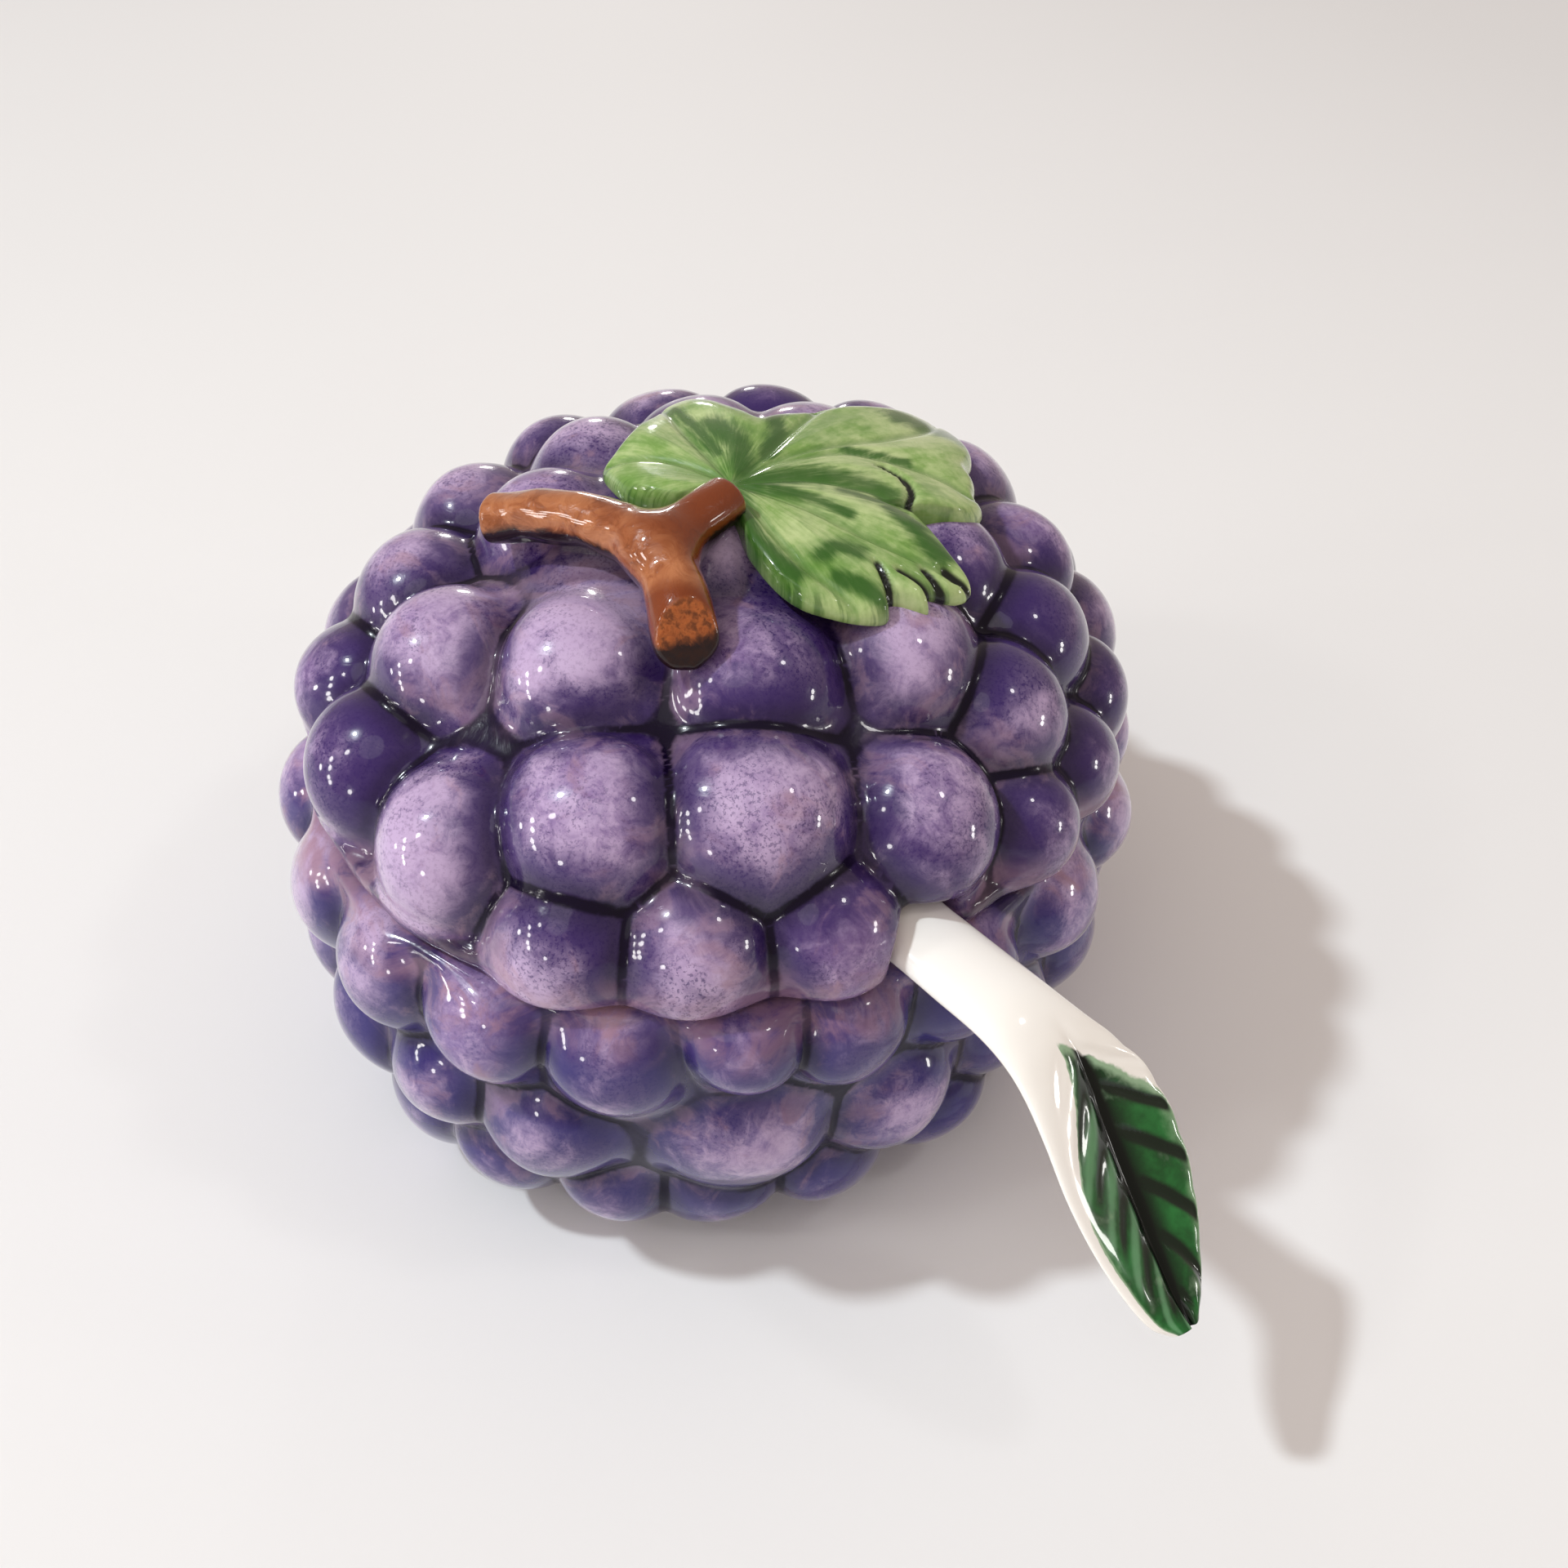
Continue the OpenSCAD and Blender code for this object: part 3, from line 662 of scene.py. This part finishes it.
def make_leaf():
    """The leaf as rings of points round its stalk, the upper side over the lower one."""
    edge = smooth_line([polar(*share) for share in leaf_outline_shares], outline_steps, closed=True)
    count = len(edge)
    rings = 1 - (1 - np.linspace(0, 1, leaf_rings + 1)[1:]) ** rings_to_edge
    plan = np.concatenate([[leaf_root]] + [leaf_root + ring * (edge - leaf_root) for ring in rings])
    reach = np.linalg.norm(edge - leaf_root, axis=1)
    inset = np.concatenate([[leaf_l]] + [(1 - ring) * reach for ring in rings])
    main = from_lines(plan, [leaf_line(vein) for vein in leaf_vein_shares])
    slit = from_lines(plan, [leaf_line(line) for line in leaf_slit_shares])
    stroke = np.min([from_lines(plan, [leaf_line(line)]) / (width * mm)
                     for line, width in leaf_stroke_shares], axis=0)
    top = seat_z + lid_h + leaf_rise_share * leaf_t - leaf_drape_share * (lid_h - dome_at(plan))
    turn = np.arctan2(*(plan - leaf_root).T[::-1])
    far = np.linalg.norm(plan - leaf_root, axis=1) / leaf_l
    lie = far * (broad_wave * np.sin(3 * turn + 0.8) + small_wave * np.sin(7 * turn))
    relief_up = swell_h * (1 - np.exp(-(main / swell_w) ** 2))
    relief_up -= vein_depth * np.exp(-(main / vein_w) ** 2)
    relief_up -= slit_depth * np.exp(-(slit / slit_w) ** 2)
    half = leaf_t / 2
    crown = np.sqrt(np.clip(half ** 2 - np.maximum(half - inset, 0) ** 2, 0, None))
    share = crown / half
    middle = top - half + lie - curl_depth * (1 - np.minimum(inset / curl_w, 1)) ** 2
    upper = np.column_stack([plan, middle + crown + relief_up * share])
    lower = np.column_stack([plan, middle - crown])[:-count]
    ring = np.arange(count)
    faces = [(0, 1 + i, 1 + (i + 1) % count) for i in ring]
    start = len(upper)
    faces += [(start, start + 1 + (i + 1) % count, start + 1 + i) for i in ring]
    for k in range(leaf_rings - 1):
        a, b = 1 + k * count + ring, 1 + k * count + (ring + 1) % count
        faces += np.stack([a, a + count, b + count, b], 1).tolist()
        c, d = start + a, start + b
        e, f = (c + count, d + count) if k < leaf_rings - 2 else (a + count, b + count)
        faces += np.stack([c, d, f, e], 1).tolist()
    leaf = shown("leaf_cover", np.concatenate([upper, lower]), faces)
    masks = {"vein": np.exp(-(main / vein_line_w) ** 2),
             "slit": np.exp(-(slit / slit_line_w) ** 2),
             "stroke": np.exp(-(stroke / stroke_spread) ** 2),
             "rim": 1 - ramp(inset, rim_full, rim_end),
             "far": far, "turn": np.cos(turn), "turn_too": np.sin(turn)}
    mark(leaf, **{name: np.concatenate([mask, mask[:-count]]) for name, mask in masks.items()})
    return leaf


def leaf_paint(start, place):
    """Light green glaze with darker strokes that run out along the veins, and painted shade in the
    slits.
    """
    vein, slit, stroke, rim, far, turn, turn_too = (
        start.mask(n) for n in ("vein", "slit", "stroke", "rim", "far", "turn", "turn_too"))
    fan = start.node("CombineXYZ", (), {"X": turn * 2.2, "Y": turn_too * 2.2, "Z": far * 1.1})
    hairs = fan.noise(fan, 9, 4, 0.6, 0.3)
    cloud = start.noise(place, 110, 3, 0.55, 0.5)
    grain = start.noise(place, 1100, 3, 0.6)
    light, spring, bottle = srgb(190, 208, 148), srgb(122, 162, 78), srgb(26, 82, 12)
    colour = (cloud + hairs * 0.4 + grain * 0.3 - far * 0.2).over(0.5, 1.0).mix(light, spring)
    broad = start.noise(place, 70, 3, 0.6, 1.2)
    shaded = (broad + stroke * 0.15 + hairs * 0.2).over(0.58, 0.78)
    colour = (shaded * 0.45).mix(colour, srgb(66, 122, 38))
    dark = (stroke + hairs * 1.1 + cloud * 0.5 - 0.8).over(0.15, 0.95)
    colour = (dark * 0.85).mix(colour, bottle)
    colour = ((vein * 0.7 + hairs * 0.5 - 0.2).over(0.25, 0.8) * 0.5).mix(colour, srgb(74, 118, 50))
    colour = (rim * hairs.over(0.5, 0.62) * 0.5).mix(colour, srgb(48, 84, 38))
    # Painted shade in the knife slits, near-black over the darker green brushed there
    colour = slit.over(0.35, 0.75).mix(colour, srgb(10, 20, 12))
    return colour, 0.18 + grain * 0.14, hairs * 0.5 + grain * 0.2, 0.12 * mm


leaf = make_leaf()
leaf.data.materials.append(finish("leaf_glaze", leaf_paint))
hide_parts("vine_leaf")
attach(leaf, "lid")


# The twig: three rolled lengths of clay luted together at a fork and to the crown, scored along
# for bark and cut off with a knife. Light brown glaze was brushed on, with rust at the ends.
twig_d = 7 * mm
fork = mean_r * np.array([0.07, -0.28])
fork_lean = np.array([-1.6, -1.7]) * mm
twig_rise = 0.3 * twig_d
# Each arm: degrees, length and end thickness as shares of the twig's, the bow of its middle line
# in millimetres, the slant of its cut end, and how far in the full rust reaches as a share
twig_arm_shares = [(186, 3.5, 0.86, -1.3, 0.1, 0.15), (-53, 1.75, 1.05, 0.3, 0.8, 0.45),
                   (88, 1.3, 0.85, 0, 0.1, 0.9)]
twig_cell, arm_points = 0.7 * mm, 9
bark_depth, bark_ridges, bark_bend, bark_fade = 0.1 * mm, 5, 3.5 * mm, 5 * mm
fork_fillet, cut_round = 2.6 * mm, 0.6 * mm
# How far inside the cut its own colour is full and ends, and where painted shade underneath begins
face_full, face_end, underside_shade_start, underside_shade_full = 0.05 * mm, 0.35 * mm, -1.5 * mm, 1 * mm


def twig_arms():
    """Each arm's middle line from the fork out, its half thickness there, its cut and its rust."""
    for degrees, reach, end, bow, slant, rust in twig_arm_shares:
        turn = math.radians(degrees)
        share = np.linspace(0, 1, arm_points)
        way = np.array([math.cos(turn), math.sin(turn)])
        plan = fork + share[:, None] * reach * twig_d * way + (1 - share[:, None]) * fork_lean
        plan += bow * mm * np.sin(np.pi * share)[:, None] * np.array([-way[1], way[0]])
        line = np.column_stack([plan, seat_z + dome_at(plan) + twig_rise])
        yield line, twig_d / 2 * (1 + share * (end - 1)), slant, rust


def past_cut(p, line, size, slant):
    """How far points lie past the knife cut at the end of an arm."""
    along = line[-1] - line[-2]
    facing = along / np.linalg.norm(along) + slant * np.array([0, 0, 1])
    return (p - line[-1]) @ facing / np.linalg.norm(facing) - size[-1] / 4


def twig_form(p):
    """How far points lie outside the twig."""
    form = np.full(len(p), far_away)
    for line, size, slant, _ in twig_arms():
        arm = np.full(len(p), far_away)
        axis = (line[-1] - line[0]) / np.linalg.norm(line[-1] - line[0])
        level = np.cross([0, 0, 1], axis)
        for a, b, first, last in zip(line, line[1:], size, size[1:]):
            share = np.clip((p - a) @ (b - a) / ((b - a) @ (b - a)), 0, 1)
            off = p - a - share[:, None] * (b - a)
            arm = np.minimum(arm, np.linalg.norm(off, axis=1) - first - share * (last - first))
        off = p - line[0]
        run = off @ axis
        round_arm = np.arctan2(off @ np.cross(axis, level), off @ level)
        bark = np.sin(bark_ridges * round_arm + 1.7 * np.sin(run / bark_bend))
        arm = arm - bark_depth * bark * np.sin(run / bark_fade + 1) + hand(2 * p) * 0.5
        form = join(form, cut(arm, -past_cut(p, line, size, slant), cut_round), fork_fillet)
    return form


def twig_paint(start, place):
    """Light brown glaze over the bark, rust on the fork's arms, black in the cut ends, painted
    shade below.
    """
    warm, face, low = start.mask("warm"), start.mask("face"), start.mask("low")
    cloud = start.noise(place, 120, 3, 0.6, 0.6)
    patch = start.noise(place, 900, 3, 0.6, 0.2)
    streak = start.noise(place, 420, 4, 0.65, 1.0)
    grain = start.noise(place, 1500, 2, 0.6)
    tan, rust, shade_umber = srgb(178, 114, 74), srgb(120, 54, 20), srgb(28, 11, 15)
    colour = (streak + cloud * 0.5).over(0.55, 0.95).mix(tan, srgb(148, 82, 44))
    colour = (warm + cloud * 0.8 - 0.3).over(0.2, 0.8).mix(colour, rust)
    colour = (face * patch.over(0.2, 0.5)).mix(colour, srgb(178, 98, 48))
    # Painted shade, dark umber, along the underside where the twig meets the lid, with some pooled
    # glaze
    colour = (low + streak * 0.9 + cloud * 0.5 - 0.6).over(0.1, 0.7).mix(colour, shade_umber)
    colour = (face * 0.7 * (patch + grain * 0.3).over(0.55, 0.8)).mix(colour, srgb(44, 18, 10))
    return colour, 0.16 + grain * 0.14, streak, 0.2 * mm


twig = cast("twig_cover", twig_form, "twig", twig_cell)
p = places(twig)
warmth, ends = [], []
for line, size, slant, rust in twig_arms():
    from_end = np.linalg.norm(p - line[-1], axis=1) / twig_d
    cut_face = ramp(past_cut(p, line, size, slant), -face_end, -face_full)
    warmth.append(1 - ramp(from_end, rust, 3 * rust))
    ends.append(cut_face * (1 - ramp(from_end, 0.6, 0.9)))
# How far below its middle line a point lies, for the painted shade underneath
lowness = seat_z + dome_at(p[:, :2]) + twig_rise - p[:, 2]
mark(twig, warm=np.max(warmth, 0), face=np.max(ends, 0), low=ramp(lowness, underside_shade_start, underside_shade_full))
twig.data.materials.append(finish("twig_glaze", twig_paint))
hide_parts("twig")
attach(twig, "lid")


# The spoon: one solid casting, ivory white, with a bowl inside the pot and a handle that bends
# down outside the rim and opens into a leaf, veined in the mould and painted deep green.
handle_reach, handle_drop = 44 * mm, 25 * mm
spoon_leaf_w, bowl_w, bowl_depth, blade_t = 18 * mm, 25 * mm, 6 * mm, 3 * mm
spoon_inner = mouth_r * 1.24
handle_mid = rest_gap + handle_t / 2
spoon_sink = pot_h + handle_mid - floor_t - bowl_depth - blade_t / 2 - 2 * rest_gap
spoon_steps, spoon_sides = 24, 96
# From the bowl's tip to the rim: inward and downward, how far widened to the bowl, how far
# thinned to the blade, and the dish
spoon_in_shares = [
    (1.00, 0.90, -0.45, 1.0, 0.10), (0.97, 0.93, 0.35, 1.0, 0.45), (0.90, 0.975, 0.80, 1.0, 0.85),
    (0.80, 1.00, 1.00, 1.0, 1.00), (0.69, 0.98, 0.86, 1.0, 0.85), (0.60, 0.91, 0.42, 0.9, 0.35),
    (0.52, 0.78, 0.05, 0.4, 0.05), (0.38, 0.46, -0.05, 0.1, 0.00), (0.26, 0.18, 0.00, 0.0, 0.00),
    (0.15, 0.01, 0.00, 0.0, 0.00)]
# From the rim out: reach and drop, then the same three, and the sway to the side
spoon_out_shares = [
    (0.00, 0.00, 0.00, 0.0, 0.00, 0.00), (0.15, 0.00, 0.02, 0.0, 0.00, 0.00),
    (0.30, 0.02, 0.06, 0.1, 0.00, 0.02), (0.40, 0.08, 0.22, 0.3, 0.06, 0.06),
    (0.48, 0.17, 0.50, 0.5, 0.16, 0.11), (0.57, 0.30, 0.84, 0.7, 0.30, 0.15),
    (0.68, 0.48, 1.00, 0.9, 0.40, 0.14), (0.79, 0.66, 0.80, 1.0, 0.36, 0.10),
    (0.89, 0.82, 0.30, 1.0, 0.24, 0.04), (0.96, 0.94, -0.25, 0.9, 0.10, 0.00),
    (1.00, 1.00, -0.85, 0.8, 0.00, -0.02)]
leaf_start_share, vein_pairs, vein_phase = 0.40, 6, 0.35
# Shares of the half width: the midrib's place near the tip, how far it leans from there at the
# leaf's start, and how wide it is
midrib_place, midrib_lean, midrib_w = 0.06, 0.2, 0.12
# Depths of the leaf's midrib and of its veins on the two sides, and how far its edge waves
midrib_depth, right_vein_depth, left_vein_depth, edge_wave = 0.8 * mm, 0.5 * mm, 0.2 * mm, 0.035
# Shares of the blade's length: how far the veins run back, and where the green tapers away
right_slant, left_slant, green_start, green_slant = 0.24, 0.3, 0.06, 0.36


def spoon_stations():
    """Outward, up, half width, thickness, dish and sway all along the spoon."""
    keys = [(-reach * spoon_inner, handle_mid - drop * spoon_sink,
             (handle_w + wide * (bowl_w - handle_w)) / 2, handle_t + thin * (blade_t - handle_t),
             dish * bowl_depth, 0) for reach, drop, wide, thin, dish in spoon_in_shares]
    keys += [(reach * handle_reach, handle_mid - drop * handle_drop,
              (handle_w + wide * (spoon_leaf_w - handle_w)) / 2,
              handle_t + thin * (blade_t - handle_t), dish * bowl_depth, sway * spoon_leaf_w)
             for reach, drop, wide, thin, dish, sway in spoon_out_shares]
    return smooth_line(keys, spoon_steps).T


def make_spoon():
    """The spoon as rings of points round its middle line, creased and veined on the leaf."""
    out, up, half, thick, dish, sway = spoon_stations()
    ahead = np.stack([np.gradient(out), np.gradient(up)], 1)
    normal = np.stack([-ahead[:, 1], ahead[:, 0]], 1) / np.linalg.norm(ahead, axis=1)[:, None]
    turn = 2 * np.pi * np.arange(spoon_sides) / spoon_sides
    run = np.maximum(out / handle_reach, 0)[:, None]
    blade = (run - leaf_start_share) / (1 - leaf_start_share)
    on_leaf = ramp(blade, -0.02, 0.2)
    share = np.cos(turn)[None] * np.ones((len(out), 1))
    face = np.maximum(np.sin(turn), 0)[None] * np.ones((len(out), 1))
    notches = np.abs(np.sin(np.pi * (vein_pairs * (blade - right_slant) + vein_phase)))
    wave = 1 + edge_wave * on_leaf * (notches - 0.8) * (share > 0)
    across = half[:, None] * wave * share + sway[:, None]
    fold = 1 - np.abs(share) ** (2 - 0.6 * on_leaf)
    y = thick[:, None] / 2 * np.sin(turn) - dish[:, None] * fold
    midrib = midrib_place + midrib_lean * (1 - ramp(blade, 0, 0.35))
    crease = np.exp(-((share - midrib) / midrib_w) ** 2)
    crease = crease * ramp(run, leaf_start_share - 0.04, leaf_start_share + 0.12)
    right = share > midrib
    slant = np.where(right, right_slant, left_slant)
    vein_run = vein_pairs * (blade - slant * np.abs(share)) + vein_phase
    ribs = 0.5 - 0.5 * np.cos(2 * np.pi * vein_run)
    side = on_leaf * ramp(np.abs(share - midrib), 0.05, 0.2) * (1 - ramp(blade, 0.9, 1))
    side = side * (1 - ramp(np.abs(share), 0.9, 1.02))
    left_ribs = 0.7 * ribs ** 2 * (1 - ramp(-share, 0.4, 0.8))
    veins = side * np.where(right, ribs ** 3, left_ribs)
    vein_depths = np.where(right, right_vein_depth, left_vein_depth)
    y = y - face ** 0.5 * (midrib_depth * crease + vein_depths * veins)
    way = math.radians(handle_angle - 90)
    x, z = out[:, None] + normal[:, :1] * y, up[:, None] + normal[:, 1:] * y
    base = on_oval(spoon_angle, mean_r - relief)
    points = np.stack([base[0] + x * math.cos(way) - across * math.sin(way),
                       base[1] + x * math.sin(way) + across * math.cos(way), pot_h + z], -1)
    last, n = len(out) - 1, spoon_sides
    ring = np.arange(n)
    faces = [ring.tolist(), (last * n + ring[::-1]).tolist()]
    for k in range(last):
        a, b = k * n + ring, k * n + (ring + 1) % n
        faces += np.stack([a, a + n, b + n, b], 1).tolist()
    spoon = shown("spoon_cover", points.reshape(-1, 3), faces)
    far_side, from_mid = ramp(share, -0.1, 0.1), np.abs(share)
    bound = 0.96 * far_side + (1 - far_side) * (0.02 + 0.82 * ramp(blade, -0.02, 0.6))
    start = blade - green_start - green_slant * from_mid * far_side
    green = ramp(blade, -0.04, 0.08) * ramp(start, -0.14, 0.06)
    green = green * (1 - ramp(from_mid - bound, -0.03, 0.07)) * ramp(face, 0.02, 0.1)
    # Painted sheen: paler green on the bulges between the left half's veins
    lobe_sheen = (1 - far_side) * on_leaf * (1 - ribs) ** 2 * (1 - ramp(from_mid, 0.6, 0.9))
    # Where painted shade falls on the leaf beside the midrib
    near = np.exp(-((share - midrib) / 0.34) ** 2) * on_leaf
    masks = {"green": green, "vein": veins ** 0.8, "crease": crease * face, "out": from_mid,
             "near": near, "lobe_sheen": lobe_sheen}
    mark(spoon, **{name: mask.ravel() for name, mask in masks.items()})
    return spoon


def spoon_paint(start, place):
    """Ivory glaze, brushed green on the leaf, painted shade that turns it black in the midrib,
    painted sheen.
    """
    green, vein, crease, out, near, lobe_sheen = (
        start.mask(n) for n in ("green", "vein", "crease", "out", "near", "lobe_sheen"))
    cloud = start.noise(place, 190, 3, 0.6, 0.4)
    grain = start.noise(place, 800, 3, 0.6)
    cream = start.noise(place, 45, 2, 0.5)
    colour = cream.over(0.3, 0.8).mix(srgb(253, 252, 248), srgb(247, 244, 236))
    edge = (green + cloud * 1.1 + grain * 0.3 - 0.7).over(0.3, 0.5)
    light_green = (cloud + grain * 0.3 + out * 0.25).over(0.55, 1.05)
    leafy = light_green.mix(srgb(8, 58, 20), srgb(36, 116, 52))
    leafy = (out + cloud * 0.4 + grain * 0.2).over(1.05, 1.4).mix(leafy, srgb(142, 176, 138))
    # Painted shade: darker green beside the midrib, where the fold shades the leaf
    leafy = (near + cloud * 0.5 - 0.3).over(0.2, 0.9).mix(leafy, srgb(6, 42, 16))
    # Painted sheen on the left half's lobes
    leafy = ((lobe_sheen + cloud - 0.6).over(0.1, 0.9) * 0.6).mix(leafy, srgb(112, 168, 122))
    leafy = (green + cloud * 0.7 + grain * 0.3).over(1.1, 1.45).mix(srgb(150, 182, 148), leafy)
    leafy = (vein + cloud * 0.3).over(0.35, 0.9).mix(leafy, srgb(3, 26, 9))
    # The midrib's crease, near-black: painted shade over the green pooled there
    leafy = (crease + vein * 0.1 + cloud * 0.2).over(0.2, 0.75).mix(leafy, srgb(2, 10, 5))
    colour = edge.mix(colour, leafy)
    return colour, 0.14 + grain * 0.08, cloud * 0.5, 0.05 * mm, 0.9 - crease * edge * 0.6


spoon = make_spoon()
spoon.data.materials.append(finish("spoon_glaze", spoon_paint))
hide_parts("spoon")
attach(spoon, "spoon")


# The stage: a plain pale floor outside the object, and a pale room that the camera sees past it.
# The room lights the object dimly from all round.
floor_reach = 1.8


def pale_paint(start, place):
    """Matt pale paint, very slightly uneven."""
    drift = start.noise(place, 3, 2, 0.5)
    grain = start.noise(place, 700, 2, 0.5)
    colour = drift.mix(srgb(239, 240, 241), srgb(234, 235, 236))
    return colour, 0.75 + grain * 0.1, grain, 0.02 * mm


corners = np.array([(-1, -1, 0), (1, -1, 0), (1, 1, 0), (-1, 1, 0)])
floor = shown("floor_sheet", floor_reach * corners, [(0, 1, 2, 3)])
floor.data.materials.append(finish("floor_paint", pale_paint, coat=0))

world = bpy.data.worlds.new("room")
bpy.context.scene.world = world
world.use_nodes = True
tree = world.node_tree
room = Glaze(tree)
lit = tree.nodes["Background"]
lit.inputs["Color"].default_value = (1, 0.83, 0.73, 1)
lit.inputs["Strength"].default_value = 0.5
seen = room.node("Background", (), {"Color": srgb(243, 241, 239), "Strength": 1}, "Background")
straight = room.node("LightPath", (), (), "Is Camera Ray")
room_wall = room.node("MixShader", (), {"Fac": straight})
tree.links.new(lit.outputs[0], room_wall.socket.node.inputs[1])
tree.links.new(seen.socket, room_wall.socket.node.inputs[2])
tree.links.new(room_wall.socket, tree.nodes["World Output"].inputs["Surface"])
bpy.context.scene.view_settings.view_transform = "Standard"


# The camera stands where the photograph was taken from, and the lamps hang about it: one bright
# lamp high on the left, a soft fill, and small bulbs whose glints dot the glaze.
camera_at = Vector((89.7, -146.4, 188.3)) * mm
camera_aim = Vector((18.8, -15.6, 54.6)) * mm
camera_roll = math.radians(3.3)
# Degrees from +X round to the camera, as its aim sees it
camera_way = -61.5
camera = bpy.data.objects.new("camera", bpy.data.cameras.new("camera"))
bpy.context.scene.collection.objects.link(camera)
camera.data.lens = 37.5
camera.data.clip_start = 0.01
turn = (camera_aim - camera_at).to_track_quat("-Z", "Y").to_matrix()
turn = turn @ Matrix.Rotation(camera_roll, 3, "Z")
camera.matrix_world = Matrix.Translation(camera_at) @ turn.to_4x4()
bpy.context.scene.camera = camera


def lamp(name, way, height, distance, size, watts, colour=(1, 1, 1), spread=180):
    """A lamp aimed at the pot: degrees round from the camera to the right and up, and watts."""
    azimuth = math.radians(way + camera_way)
    level = math.cos(math.radians(height)) * distance
    light = bpy.data.lights.new(name, "AREA")
    light.shape, light.size, light.energy, light.color = "DISK", size, watts, colour
    light.spread = math.radians(spread)
    made = bpy.data.objects.new(name, light)
    bpy.context.scene.collection.objects.link(made)
    made.location = (level * math.cos(azimuth), level * math.sin(azimuth),
                     distance * math.sin(math.radians(height)))
    made.rotation_euler = (-made.location).to_track_quat("-Z", "Y").to_euler()


lamp("key", way=-86, height=53, distance=3, size=0.2, watts=46, colour=(0.88, 0.96, 1))
lamp("fill", way=-30, height=60, distance=1.1, size=0.6, watts=0.8)
# Degrees round from the camera and up
bulb_ways = [(-62, 12), (-66, 20), (-58, 8), (-72, 26), (-80, 10), (-61, 41), (79, 10), (83, 14),
             (189, 12), (80, 59), (-31, 9)]
for i, (way, height) in enumerate(bulb_ways):
    lamp(f"bulb_{i + 1}", way, height, distance=1, size=0.09, watts=0.05, colour=(1, 0.98, 0.95),
         spread=60)
